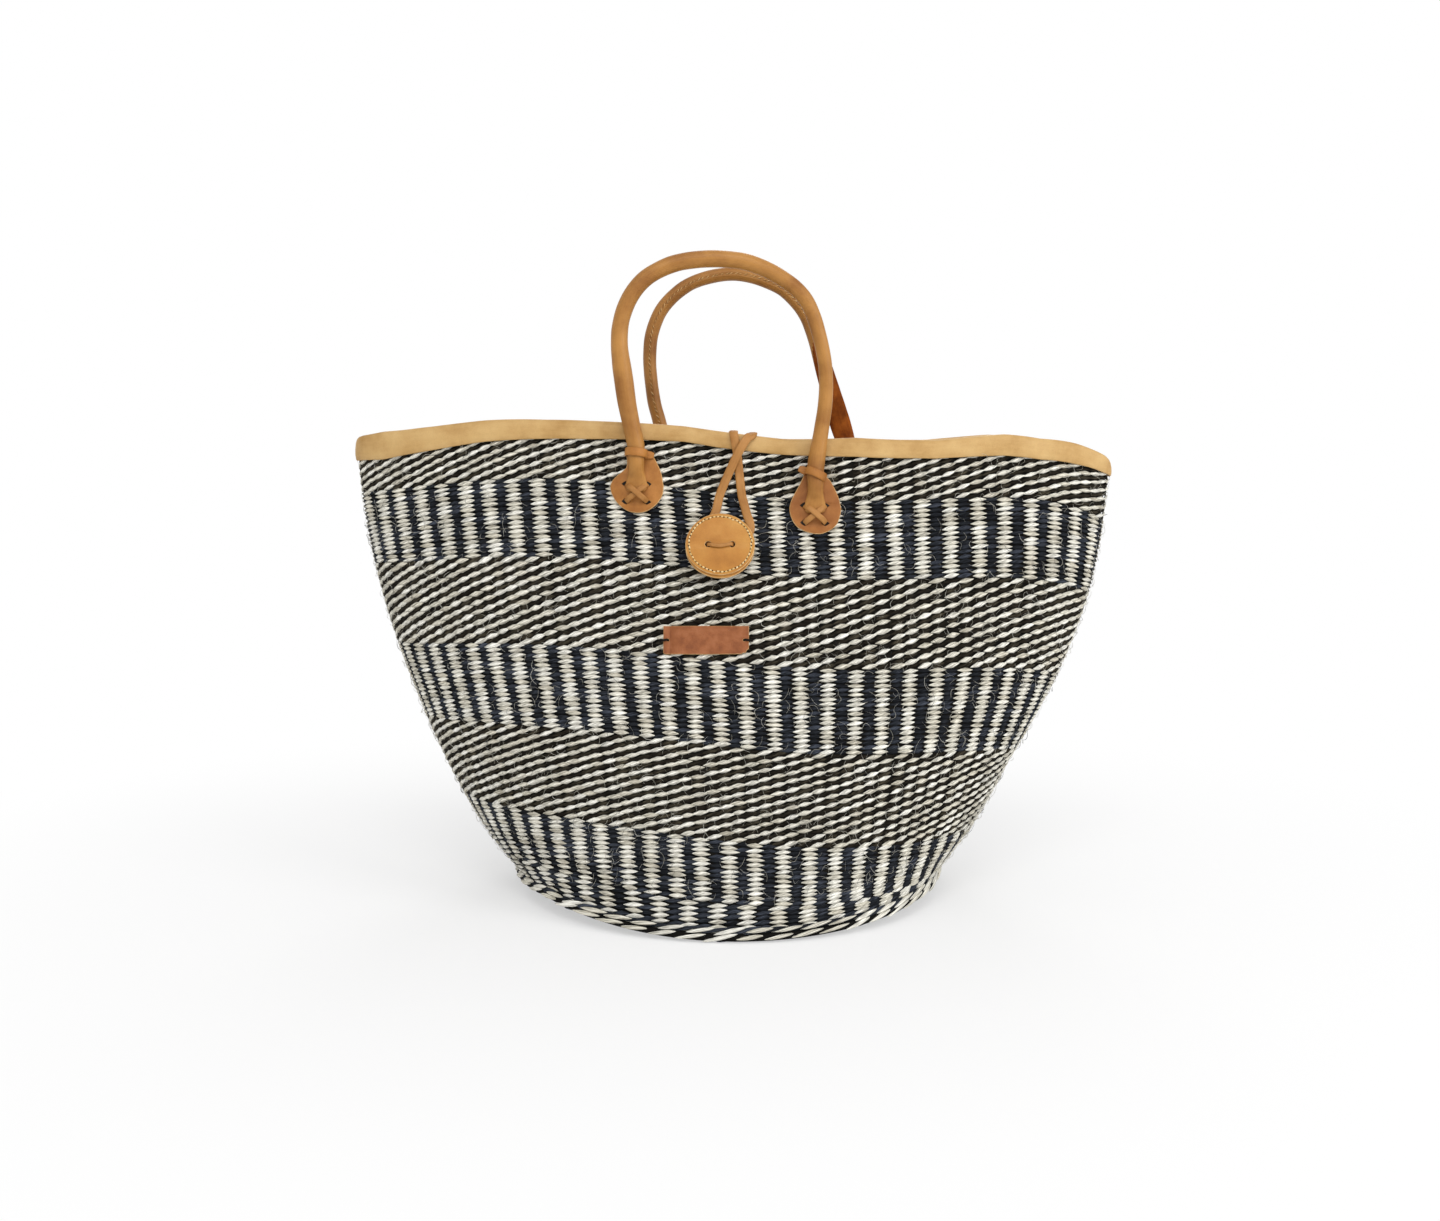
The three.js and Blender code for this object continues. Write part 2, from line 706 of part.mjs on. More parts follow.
function anchorSolid() {
  const middle = (strandSpots[0] + strandSpots[1]) / 2;
  const holeHeight = rimHeightOver(middle) - anchorDepth;
  const { angle, rise } = wallSpot(middle, holeHeight, 1);
  const face = wallPoint(angle, rise, 0).y;
  const outer = rimHalfDepth + bedOver + strandThickness;
  const inner = face - wallThickness - clearance * 2 - strandThickness;
  const sideways = new THREE.Matrix4().makeBasis(
    new THREE.Vector3(0, 1, 0), new THREE.Vector3(0, 0, 1), new THREE.Vector3(1, 0, 0),
  );
  const pieces = strandSpots.map((x) => {
    const top = strandBed(x) - clearance;
    const outline = new THREE.Shape();
    outline.moveTo(inner, holeHeight);
    outline.lineTo(outer, holeHeight);
    outline.lineTo(outer + (face - rimHalfDepth), holeHeight + strandThickness);
    outline.lineTo(outer, top);
    outline.lineTo(outer - strandThickness, top);
    outline.lineTo(outer - strandThickness + (face - rimHalfDepth), holeHeight + strandThickness);
    outline.lineTo(inner, holeHeight + strandThickness);
    const strand = new THREE.ExtrudeGeometry(outline, { depth: strandWidth, bevelEnabled: false });
    return strand.applyMatrix4(sideways).translate(x - strandWidth / 2, 0, 0);
  });
  return { pieces, holeHeight, inner };
}

function crossSection(centre, across, through, halfWidth, halfHeight) {
  return [[-1, -1], [1, -1], [1, 1], [-1, 1]].map(([a, b]) => {
    const corner = centre.clone().addScaledVector(across, a * halfWidth);
    return corner.addScaledVector(through, b * halfHeight);
  });
}

function strandOverMouth(x) {
  const outer = rimHalfDepth + bedOver + strandThickness;
  const inner = rimHalfDepth - wallThickness - bindingOut;
  const level = new THREE.Vector3(1, 0, 0);
  const upward = new THREE.Vector3(0, 0, 1);
  const rings = [];
  for (let i = 0; i <= spanSteps; i += 1) {
    const y = outer * (1 - (2 * i) / spanSteps);
    const hang = Math.max(0, 1 - (y / inner) ** 2) * strandSag;
    const centre = new THREE.Vector3(x, y, strandBed(x) + strandThickness / 2 - hang);
    rings.push(crossSection(centre, level, upward, strandWidth / 2, strandThickness / 2));
  }
  return skin(rings);
}

// The loop lies on the wall. Each stop gives its place and how far it is lifted off the wall.
function loopStops() {
  const bindingFoot = rimHeightOver(crossingPlace.x) - bindingDepth;
  const halfWidth = buttonLaceHalfSpan + buttonLaceWidth / 2 + loopSlack + strandWidth / 2;
  const low = buttonLaceWidth / 2 + loopSlack + strandWidth / 2;
  const { x, z } = buttonPlace;
  const high = clearance + strandThickness;
  const [leftTop, rightTop] = strandSpots;
  const drop = crossingPlace.z - z;
  const neck = z + drop * loopNeck;
  const shoulder = z + drop * loopShoulder;
  const flank = z + drop * loopFlank;
  const cornerOut = halfWidth * loopCorner.out;
  const corner = z - low * loopCorner.down;
  return [
    [rightTop, strandBed(rightTop) - clearance, bedOver],
    [rightTop - strandPinch, bindingFoot, bedOver],
    [crossingPlace.x, crossingPlace.z, high + clearance],
    [crossingPlace.x + loopNeckOut.left, neck, high],
    [x + halfWidth * loopShoulderOut.left, shoulder, clearance],
    [x - halfWidth, flank, clearance],
    [x - cornerOut, corner, clearance],
    [x, z - low * loopFoot, clearance],
    [x + cornerOut, corner, clearance],
    [x + halfWidth, flank, clearance],
    [x + halfWidth * loopShoulderOut.right, shoulder, clearance],
    [crossingPlace.x + loopNeckOut.right, neck, clearance],
    [crossingPlace.x, crossingPlace.z, clearance],
    [leftTop + strandPinch, bindingFoot, bedOver],
    [leftTop, strandBed(leftTop) - clearance, bedOver],
  ];
}

function loopSolid() {
  const stops = loopStops().map(([x, z, lift]) => new THREE.Vector3(x, z, lift));
  const route = new THREE.CatmullRomCurve3(stops, false, 'centripetal');
  const rings = [];
  for (let i = 0; i <= loopSteps; i += 1) {
    const here = route.getPoint(i / loopSteps);
    const ahead = route.getTangent(i / loopSteps);
    const across = new THREE.Vector2(-ahead.y, ahead.x).normalize().multiplyScalar(strandWidth / 2);
    const corner = (sign, height) => {
      const { angle, rise } = wallSpot(here.x + sign * across.x, here.y + sign * across.y, -1);
      const point = wallPoint(angle, rise, here.z + height);
      point.z = here.y + sign * across.y;
      return point;
    };
    rings.push([corner(-1, 0), corner(1, 0), corner(1, strandThickness), corner(-1, strandThickness)]);
  }
  return skin(rings);
}

function buildClosure() {
  const { pieces, holeHeight, inner } = anchorSolid();
  const [leftTop, rightTop] = strandSpots;
  const span = rightTop - leftTop;
  const bar = new THREE.BoxGeometry(span, strandThickness, strandThickness);
  bar.translate((leftTop + rightTop) / 2, inner + strandThickness / 2, holeHeight + strandThickness / 2);
  addPart('closure_anchor', joined([...pieces, bar]), 'laceLeather');
  addPart('closure_strand_left', strandOverMouth(leftTop), 'laceLeather');
  addPart('closure_strand_right', strandOverMouth(rightTop), 'laceLeather');
  addPart('closure_loop', loopSolid(), 'laceLeather');
  for (const x of strandSpots) {
    const slot = new THREE.BoxGeometry(
      strandWidth + clearance * 2, drillDepth, strandThickness + clearance * 2,
    );
    wallCutters.push(slot.translate(x, rimHalfDepth, holeHeight + strandThickness / 2));
  }
}

// Label: a bare leather tab held by a dark tie at each end.

function labelSolid(bed) {
  const corner = labelThickness;
  const right = labelWidth / 2;
  const top = labelHeight / 2;
  const outline = new THREE.Shape();
  outline.moveTo(-right + corner, -top);
  outline.lineTo(right - corner * 2, -top);
  outline.lineTo(right, -top + corner * 2);
  outline.lineTo(right, top);
  outline.lineTo(-right, top);
  outline.lineTo(-right, -top + corner);
  for (const x of [tieInset - right, right - tieInset]) {
    outline.holes.push(roundHole(x, 0, tieThickness / 2 + clearance * 2));
  }
  const tab = new THREE.ExtrudeGeometry(outline, { depth: labelThickness, bevelEnabled: false });
  return tab.translate(0, 0, bed);
}

// A tie is a closed ring of thread: through the label, round its end, and behind the wall.
function tieSolid(bed) {
  const near = tieInset + clearance * 2 + tieThickness;
  const bottom = -wallThickness - bed - clearance - tieThickness;
  const top = bed + labelThickness + clearance;
  const ring = new THREE.Shape();
  ring.moveTo(-tieThickness / 2, bottom);
  ring.lineTo(near + tieThickness / 2, bottom);
  ring.lineTo(near + tieThickness / 2, top);
  ring.lineTo(near - tieThickness / 2, top + tieThickness);
  ring.lineTo(tieThickness / 2, top + tieThickness);
  ring.lineTo(-tieThickness / 2, top);
  const eye = new THREE.Path();
  eye.moveTo(tieThickness / 2, bottom + tieThickness);
  eye.lineTo(tieThickness / 2, top);
  eye.lineTo(near - tieThickness / 2, top);
  eye.lineTo(near - tieThickness / 2, bottom + tieThickness);
  ring.holes.push(eye);
  const tie = new THREE.ExtrudeGeometry(ring, { depth: tieThickness, bevelEnabled: false });
  return { tie: tie.translate(0, 0, -tieThickness / 2).rotateX(Math.PI / 2), near };
}

function buildLabel() {
  const frame = wallFrame(labelPlace, -1);
  const half = labelWidth / 2;
  const bed = clearance + wallBulge(frame, -1, half, labelHeight / 2, labelHeight / 2);
  const seat = new THREE.Group();
  seat.applyMatrix4(frame);
  tote.add(seat);
  addPart('label', labelSolid(bed), 'labelLeather', seat);
  for (const [name, turn] of [['left', 1], ['right', -1]]) {
    const { tie, near } = tieSolid(bed);
    const start = -turn * (half - tieInset);
    const ring = turn > 0 ? tie.rotateZ(Math.PI) : tie;
    addPart(`label_${name}_tie`, ring.translate(start, 0, 0), 'thread', seat);
    for (const x of [start, start - turn * near]) {
      drillWall(frame, x, 0, tieThickness / 2 + clearance * 2);
    }
  }
}

for (const [name, spec] of Object.entries(handles)) {
  buildSeat(`${name}_left`, spec.left, spec);
  buildSeat(`${name}_right`, spec.right, spec);
  buildHandle(name, spec);
}
buildButton();
buildClosure();
buildLabel();
addPart('basket_wall', cutBy(wallSolid(), wallCutters), 'sisal');
addPart('basket_base', baseSolid(), 'sisal');
addPart('base_ridge', ridgeSolid(), 'sisal');
addPart('rim_binding', bindingSolid(), 'rimLeather');

export default tote;
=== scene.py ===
# %% [markdown]
# A flat-bottomed basket bag, twined by hand from black and natural sisal and finished in leather.
# The solids of the bag are already made at their real size. This file dresses them: every
# stitch, strip of leather and loose fibre is built here around those fixed solids.
# Sizes are in millimetres and are turned to metres where a mesh is made.

import json
import math

import bmesh
import bpy
import numpy as np
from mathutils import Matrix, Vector

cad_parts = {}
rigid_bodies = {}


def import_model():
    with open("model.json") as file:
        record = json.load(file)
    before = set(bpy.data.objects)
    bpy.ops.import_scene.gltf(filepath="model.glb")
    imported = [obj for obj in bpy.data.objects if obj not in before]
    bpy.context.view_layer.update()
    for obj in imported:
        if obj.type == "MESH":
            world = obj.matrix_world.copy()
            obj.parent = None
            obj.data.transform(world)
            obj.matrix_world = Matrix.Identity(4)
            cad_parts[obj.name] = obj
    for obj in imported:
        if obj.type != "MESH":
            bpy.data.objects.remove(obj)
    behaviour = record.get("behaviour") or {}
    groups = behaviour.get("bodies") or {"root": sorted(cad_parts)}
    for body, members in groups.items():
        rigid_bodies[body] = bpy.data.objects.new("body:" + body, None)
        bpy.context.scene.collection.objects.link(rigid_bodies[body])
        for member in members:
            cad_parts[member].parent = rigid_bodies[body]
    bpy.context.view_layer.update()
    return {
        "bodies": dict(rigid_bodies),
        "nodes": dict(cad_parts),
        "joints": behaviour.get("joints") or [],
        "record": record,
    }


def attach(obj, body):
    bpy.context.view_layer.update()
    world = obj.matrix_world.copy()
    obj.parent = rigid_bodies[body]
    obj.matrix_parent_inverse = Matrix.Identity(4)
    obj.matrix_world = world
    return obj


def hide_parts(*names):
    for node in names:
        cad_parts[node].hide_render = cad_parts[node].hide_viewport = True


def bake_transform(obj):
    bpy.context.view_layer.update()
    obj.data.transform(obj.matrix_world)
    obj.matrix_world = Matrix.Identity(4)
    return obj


MM = 0.001

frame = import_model()

# %% [markdown]
# A few small helpers carry the rest of the file. They turn a web colour into the linear values
# that a shader wants, add nodes to a tree with their settings and links, and make objects from
# rows of points.

# %% Colours and nodes
def linear(code):
    """A colour such as "d2ae79" as linear red, green, blue and alpha."""
    channels = [int(code[k:k + 2], 16) / 255 for k in (0, 2, 4)]
    return [c / 12.92 if c <= 0.04045 else ((c + 0.055) / 1.055) ** 2.4 for c in channels] + [1]


def fill(tree, node, inputs):
    """Fills a node's inputs with values, with sockets or with the first output of other nodes."""
    for key, value in dict(inputs).items():
        if isinstance(value, bpy.types.Node):
            value = value.outputs[0]
        if isinstance(value, bpy.types.NodeSocket):
            tree.links.new(value, node.inputs[key])
        else:
            node.inputs[key].default_value = value


def add_node(tree, kind, inputs=(), **settings):
    """Adds a node to a tree, applies its settings and fills its inputs."""
    node = tree.nodes.new(kind)
    for name, value in settings.items():
        setattr(node, name, value)
    fill(tree, node, inputs)
    return node


def calc(tree, operation, *values):
    """A maths node on one to three values."""
    return add_node(tree, "ShaderNodeMath", enumerate(values), operation=operation)


def remap(tree, value, low, high, new_low, new_high, **settings):
    """Moves a value from the range between low and high to a new range."""
    return add_node(tree, "ShaderNodeMapRange", {
        "Value": value, "From Min": low, "From Max": high, "To Min": new_low, "To Max": new_high},
        **settings)


def new_material(name):
    """A material and its node tree."""
    material = bpy.data.materials.new(name)
    material.use_nodes = True
    return material, material.node_tree


# %% Objects and meshes
def add_object(name, data):
    """A new object in the scene."""
    thing = bpy.data.objects.new(name, data)
    bpy.context.scene.collection.objects.link(thing)
    return thing


def mesh_object(name, points, faces, material=None, corner_uv=None, smooth=True):
    """An object made of points in millimetres, with its faces turned outwards."""
    mesh = bpy.data.meshes.new(name)
    mesh.from_pydata(np.asarray(points, float) * MM, [], [list(face) for face in faces])
    if corner_uv is not None:
        mesh.uv_layers.new(name="UVMap").uv.foreach_set("vector", np.ravel(corner_uv))
    shape = bmesh.new()
    shape.from_mesh(mesh)
    bmesh.ops.recalc_face_normals(shape, faces=shape.faces)
    shape.to_mesh(mesh)
    shape.free()
    mesh.polygons.foreach_set("use_smooth", [smooth] * len(mesh.polygons))
    if material:
        mesh.materials.append(material)
    return add_object(name, mesh)


def grid_faces(rows, sides, close_rows=False):
    """Quads between closed rows of points that all have the same number of points."""
    faces = []
    for i in range(rows if close_rows else rows - 1):
        here, after = i * sides, (i + 1) % rows * sides
        for k in range(sides):
            beside = (k + 1) % sides
            faces.append((here + k, here + beside, after + beside, after + k))
    return faces


def grid_uv(across, along):
    """The corners of a grid of quads, from how far its points lie across and along it."""
    uv = []
    for here, after in zip(along, along[1:]):
        for left, right in zip(across, across[1:]):
            uv += [(left, here), (right, here), (right, after), (left, after)]
    return uv


def unit(vectors):
    vectors = np.asarray(vectors, float)
    return vectors / np.linalg.norm(vectors, axis=-1, keepdims=True)


def turns(count, shift=0.0):
    """Even angles once round, moved on by a part of a step."""
    return (np.arange(count) + shift) / count * 2 * math.pi


def ring(turn, wide, tall, level=0.0):
    """Points on a level ellipse at these angles."""
    return np.stack(np.broadcast_arrays(wide * np.cos(turn), tall * np.sin(turn), level), -1)


# %% [markdown]
# The photograph was taken from a little over a metre away, level with the rim and looking
# slightly down at the foot. A lens of about 42 mm on a full frame gives its perspective.

# %% Camera
EYE = (-9, -1150, 309)
LOOK_DOWN = math.radians(5.82)
LENS = 41.675

camera = add_object("camera", bpy.data.cameras.new("camera"))
camera.data.lens = LENS
camera.location = [value * MM for value in EYE]
camera.rotation_euler = (math.pi / 2 - LOOK_DOWN, 0, 0)
bpy.context.scene.camera = camera
print("camera stands", round(-camera.location.y, 2), "m in front of the bag")

# %% [markdown]
# The bag stands on a plain white floor in soft light. A big lamp above the camera, a little to
# the left, shapes the forms gently, a weaker one on the right opens the shadows, and the
# world fills in the rest. Light Path lets the camera and any gloss see clean white, while the
# light that reaches the bag stays level. The floor keeps the shadow at the foot, and fades to
# plain white less than a metre away.

# %% Floor and world
WHITE = (1, 1, 1, 1)
FLOOR_REACH = 6000
SHADOW_REACH = (0.16, 0.7)
FLOOR_GLOW = 0.5
WORLD_LEVEL = 0.62


def seen_directly(tree):
    """1 for rays that look straight at a surface, or at its mirror image, and 0 for plain light."""
    path = add_node(tree, "ShaderNodeLightPath").outputs
    mirrored = calc(tree, "MAXIMUM", path["Is Camera Ray"], path["Is Glossy Ray"])
    return calc(tree, "MAXIMUM", mirrored, path["Is Transmission Ray"])


def white_paper():
    """Matt white paper, partly plain white to the camera, so that only a shadow darkens it."""
    material, tree = new_material("paper_matt_white")
    tree.nodes.clear()
    paper = add_node(tree, "ShaderNodeBsdfDiffuse", {"Color": linear("f4f4f4")})
    glow = add_node(tree, "ShaderNodeEmission", {"Color": WHITE, "Strength": 1.0})
    where = add_node(tree, "ShaderNodeTexCoord").outputs["Object"]
    away = add_node(tree, "ShaderNodeVectorMath", {0: where}, operation="LENGTH").outputs["Value"]
    clear = remap(tree, away, *SHADOW_REACH, FLOOR_GLOW, 1.0, interpolation_type="SMOOTHSTEP")
    share = calc(tree, "MULTIPLY", seen_directly(tree), clear)
    both = add_node(tree, "ShaderNodeMixShader", {0: share, 1: paper, 2: glow})
    add_node(tree, "ShaderNodeOutputMaterial", {"Surface": both})
    return material


world = bpy.data.worlds.new("studio")
world.use_nodes = True
world.node_tree.nodes.clear()
level = remap(world.node_tree, seen_directly(world.node_tree), 0, 1, WORLD_LEVEL, 1)
sky = add_node(world.node_tree, "ShaderNodeBackground", {"Color": WHITE, "Strength": level})
add_node(world.node_tree, "ShaderNodeOutputWorld", {"Surface": sky})
bpy.context.scene.world = world
bpy.context.scene.view_settings.view_transform = "Standard"

corners = [(x * FLOOR_REACH, y * FLOOR_REACH, 0) for x, y in ((-1, -1), (1, -1), (1, 1), (-1, 1))]
floor = mesh_object("floor", corners, [(0, 1, 2, 3)], white_paper(), smooth=False)
print("floor", 2 * FLOOR_REACH * MM, "m across, world level", WORLD_LEVEL)


# %% Lamps
def soft_lamp(name, place, aim, size, watts):
    """A square soft box at a place, in millimetres, that faces the point it is aimed at."""
    lamp = add_object(name, bpy.data.lights.new(name, "AREA"))
    lamp.data.shape = "SQUARE"
    lamp.data.size = size * MM
    lamp.data.energy = watts
    lamp.location = Vector(place) * MM
    lamp.rotation_euler = (Vector(aim) - Vector(place)).to_track_quat("-Z", "Y").to_euler()


soft_lamp("key_lamp", (-120, -2150, 2200), (0, 0, 180), 1500, 29.5)
soft_lamp("side_lamp", (1900, -1300, 1100), (0, 0, 180), 1200, 20)
soft_lamp("rear_lamp", (300, 2200, 1700), (0, 0, 200), 1200, 12)
print("three soft lamps")

# %% [markdown]
# The woven wall is an ellipse at every height: round at the foot and nearly shut at the rim,
# where the leather binding sways up and down. These are the same curves as the solid's, so a
# stitch that is placed by its way round and its height lies exactly on the solid. Then the bag
# settles: its foot curls up at both ends, and its flanks give way.

# %% The shape of the wall
RIM_HEIGHT = 309
RIM_HALF_WIDTH = 257.5
RIM_HALF_DEPTH = 50
BASE_RADIUS = 144
BASE_THICKNESS = 4
WALL_THICKNESS = 4
WALL_FOOT = BASE_THICKNESS + 0.3
WALL_TOP = 0.984
SIDE_STRAIGHT_SHARE = 0.11
FACE_STRAIGHT_SHARE = 0.36
RIM_WAVE = (3.6, -7.5, -6, 1.2, -4.2, -2.9)
LEFT_CURL, LEFT_CURL_POWER = 16, 2
RIGHT_CURL, RIGHT_CURL_POWER = 12, 2.2
CURL_LIMIT = 11.5
CURL_TOP = 70
FLANK_HEIGHTS = (0, 22, 37, 90, 143, 200, 330)
LEFT_FLANK = (3.5, 4.5, 4.8, 4.0, 2.0, 1.5, 0)
RIGHT_FLANK = (2.5, 4, 3.5, 5.5, 0.4, -2, 0)
SEARCH_ROUNDS = 12
ROUND_SAMPLES = 1441


def flare(rise, straight_share):
    drop = 1 - rise
    return straight_share * drop + (1 - straight_share) * drop * drop


def half_width(rise):
    return RIM_HALF_WIDTH - (RIM_HALF_WIDTH - BASE_RADIUS) * flare(rise, SIDE_STRAIGHT_SHARE)


def half_depth(rise):
    return RIM_HALF_DEPTH + (BASE_RADIUS - RIM_HALF_DEPTH) * flare(rise, FACE_STRAIGHT_SHARE)


def rim_height(angle):
    return RIM_HEIGHT + sum(sway * np.cos(k * angle) for k, sway in enumerate(RIM_WAVE))


def settled(points):
    """Places as they lie in the soft bag: its foot curls up and its flanks give way."""
    points = np.array(points, float)
    x, z = points[..., 0], points[..., 2]
    reach = half_width(np.clip((z - WALL_FOOT) / (RIM_HEIGHT - WALL_FOOT), 0, 1))
    aside = np.abs(x / BASE_RADIUS)
    curl = np.where(x < 0, LEFT_CURL * aside ** LEFT_CURL_POWER,
                    RIGHT_CURL * aside ** RIGHT_CURL_POWER)
    flank = np.where(x < 0, np.interp(z, FLANK_HEIGHTS, LEFT_FLANK),
                     np.interp(z, FLANK_HEIGHTS, RIGHT_FLANK))
    points[..., 0] = x - flank * np.minimum(1, np.abs(x / reach)) ** 3
    points[..., 2] = z + np.minimum(curl, CURL_LIMIT) * np.clip(1 - z / CURL_TOP, 0, 1) ** 2
    return points


def wall_point(angle, rise, out=0.0):
    """Points on the wall. rise is 0 at the foot and 1 at the rim, and out is measured level."""
    width, depth = half_width(rise), half_depth(rise)
    outward = unit(np.stack(np.broadcast_arrays(np.cos(angle) / width, np.sin(angle) / depth), -1))
    x = width * np.cos(angle) + out * outward[..., 0]
    y = depth * np.sin(angle) + out * outward[..., 1]
    z = WALL_FOOT + rise * (rim_height(angle) - WALL_FOOT)
    return settled(np.stack(np.broadcast_arrays(x, y, z), -1))


def wall_spot(x, z, side):
    """The angle and rise of the spot at x and z on the front (side -1) or the rear (side 1)."""
    rise = min(1.0, (z - WALL_FOOT) / (RIM_HEIGHT - WALL_FOOT))
    angle = 0.0
    for _ in range(SEARCH_ROUNDS):
        angle = side * math.acos(max(-1.0, min(1.0, x / half_width(rise))))
        rise = min(1.0, (z - WALL_FOOT) / (rim_height(angle) - WALL_FOOT))
    return angle, rise


def angle_round(share, rise):
    """The angle at this share of the way round, from the middle of the front to the right."""
    fine = np.linspace(-math.pi / 2, math.pi * 3 / 2, ROUND_SAMPLES)
    pace = np.hypot(half_width(rise) * np.sin(fine), half_depth(rise) * np.cos(fine))
    length = np.concatenate([[0], np.cumsum(pace[1:] + pace[:-1])])
    return np.interp(np.mod(share, 1), length / length[-1], fine)


print("the wall is", 2 * RIM_HALF_WIDTH, "mm wide at the rim and", 2 * BASE_RADIUS, "at the foot")

# %% [markdown]
# Sisal is a coarse leaf fibre. The natural one is cream, from nearly white to straw, and the
# dyed one is a soft black, some lots with a hint of navy and some of brown. Both are matt, and
# their fibres run along the yarn, so the streaks of colour and the bump are drawn along each
# stitch and not across it.

# %% Sisal
FIBRES_ROUND_YARN = 15
FIBRE_STRETCH = 1.8
FIBRE_TWIST = 4.0
STREAKS_OF_ITS_OWN = 97.0
TONE_SPREAD = 0.45
STREAK_RANGE = (0.32, 0.62)
STREAK_DARKENS = 1.6
STREAK_BRIGHTENS = 0.6
SISAL_ROUGHNESS = 0.92
SISAL_GLOSS = 0.12


def noise_node(tree, place, scale, detail, roughness=0.5):
    return add_node(tree, "ShaderNodeTexNoise", {
        "Vector": place, "Scale": scale, "Detail": detail, "Roughness": roughness})


def three_tones(tree, factor, tones, low, high):
    """A colour that runs from the first tone, at low, to the last one, at high."""
    ramp = add_node(tree, "ShaderNodeValToRGB", {"Fac": factor})
    for element, place, tone in zip(ramp.color_ramp.elements, (low, high), (tones[0], tones[2])):
        element.position = place
        element.color = linear(tone)
    ramp.color_ramp.elements.new(0.5).color = linear(tones[1])
    return ramp


def surface(tree, tones, light, height, relief, roughness, gloss):
    """Fills the shader. light brightens the tones, and relief is the bump in millimetres."""
    colour = add_node(tree, "ShaderNodeHueSaturation", {"Color": tones, "Value": light})
    bump = add_node(tree, "ShaderNodeBump", {
        "Height": height, "Strength": 1.0, "Distance": relief * MM})
    fill(tree, tree.nodes["Principled BSDF"], {
        "Base Color": colour, "Normal": bump, "Roughness": roughness, "Specular IOR Level": gloss})


def sisal(name, tones, streak_light, relief):
    """Matt twisted fibre: streaks along the yarn, a tone for each stitch, and a fine bump."""
    material, tree = new_material(name)
    along, around, tone = [
        add_node(tree, "ShaderNodeAttribute", attribute_name=label).outputs["Fac"]
        for label in ("along", "around", "tone")]
    crossways = calc(tree, "MULTIPLY", around, FIBRES_ROUND_YARN)
    place = add_node(tree, "ShaderNodeCombineXYZ", {
        "X": calc(tree, "MULTIPLY", along, FIBRE_STRETCH),
        "Y": calc(tree, "MULTIPLY_ADD", along, FIBRE_TWIST, crossways),
        "Z": calc(tree, "MULTIPLY", tone, STREAKS_OF_ITS_OWN)})
    streaks = noise_node(tree, place, 1.0, 2.0, 0.6)
    blend = calc(tree, "MULTIPLY_ADD", tone, TONE_SPREAD, streaks)
    even = calc(tree, "MULTIPLY", blend, 1 / (1 + TONE_SPREAD))
    lit = remap(tree, streaks, *STREAK_RANGE, 1 - STREAK_DARKENS * streak_light,
                1 + STREAK_BRIGHTENS * streak_light)
    surface(tree, three_tones(tree, even, tones, 0.25, 0.75), lit, streaks, relief,
            SISAL_ROUGHNESS, SISAL_GLOSS)
    return material


# Cream yarn that is nearly white where a fibre catches the light.
natural_sisal = sisal("sisal_natural_twined", ("c2baa6", "e5e1d3", "faf8f0"), 0.32, 0.6)
# Soft black with a hint of navy, for the stripes.
navy_sisal = sisal("sisal_dyed_navy_black", ("141519", "25282d", "464b56"), 0.40, 0.6)
# Soft black with a hint of brown, for the slanting lines.
brown_sisal = sisal("sisal_dyed_brown_black", ("15110d", "252019", "464034"), 0.40, 0.6)
# Painted shade: near-black sisal for the undyed warp in the shadow between the stitches.
painted_shade_sisal = sisal("sisal_painted_shade_behind_stitches", ("0b0a0a", "15130f", "231f19"), 0.2, 0.3)

# %% [markdown]
# Twining uses two wefts, one natural and one black, which swap places between every two
# warps. So each row is a line of slanted stitches in alternate colours. Where the swap keeps
# step from row to row, the colours stand in stripes. Where it moves on by one warp in every
# row, they run up in slanting lines. The bag has three bands of each, and at the foot a few
# rows whose stripes stand out of step. The weaver added warps as the wall grew wider, so each
# part of the wall has its own number of them. A band is listed as its pattern, its warps, its
# rows, and where it begins and ends.

# %% The plan of the weave
WARPS = 124
SLANT_WARPS = 118
LOW_WARPS = 112
FOOT_WARPS = 98
STRIPES = "stripes"
SLANTS = "slants"
BANDS = (
    (STRIPES, FOOT_WARPS, 6, 0.000, 0.056),
    (STRIPES, LOW_WARPS, 13, 0.056, 0.172),
    (SLANTS, SLANT_WARPS, 21, 0.172, 0.352),
    (STRIPES, WARPS, 18, 0.352, 0.523),
    (SLANTS, WARPS, 18, 0.523, 0.706),
    (STRIPES, WARPS, 17, 0.706, 0.872),
    (SLANTS, WARPS, 14, 0.872, 1.000),
)
LEAN = {STRIPES: math.radians(5), SLANTS: math.radians(15)}
ROW_TILT = 0.045
WANDER = 0.05
WANDER_KNOTS = 9
SKEW = 0.05
CROWDING = 0.06
CROWDING_SHIFT = 0.08
SPACING_SAMPLES = 721
SQUEEZE_AT = (0.17, 0.35, 0.53, 0.71)
SQUEEZE = (0.1, 0.22, 0.26, 0.2)
SQUEEZE_POWER = 8
TWIST = 0.016


def warp_wander(warps):
    """How far each warp strays from its even place, as a function of height, in warps."""
    chance = np.random.default_rng(warps)
    knots = chance.normal(0, WANDER, (WANDER_KNOTS, warps))
    knots = (knots + np.roll(knots, 1, 1) * 0.5) + chance.normal(0, WANDER * 0.6, warps)
    heights = np.linspace(0, 1, WANDER_KNOTS)
    return lambda rise: np.array([np.interp(rise, heights, knots[:, k]) for k in range(warps)])


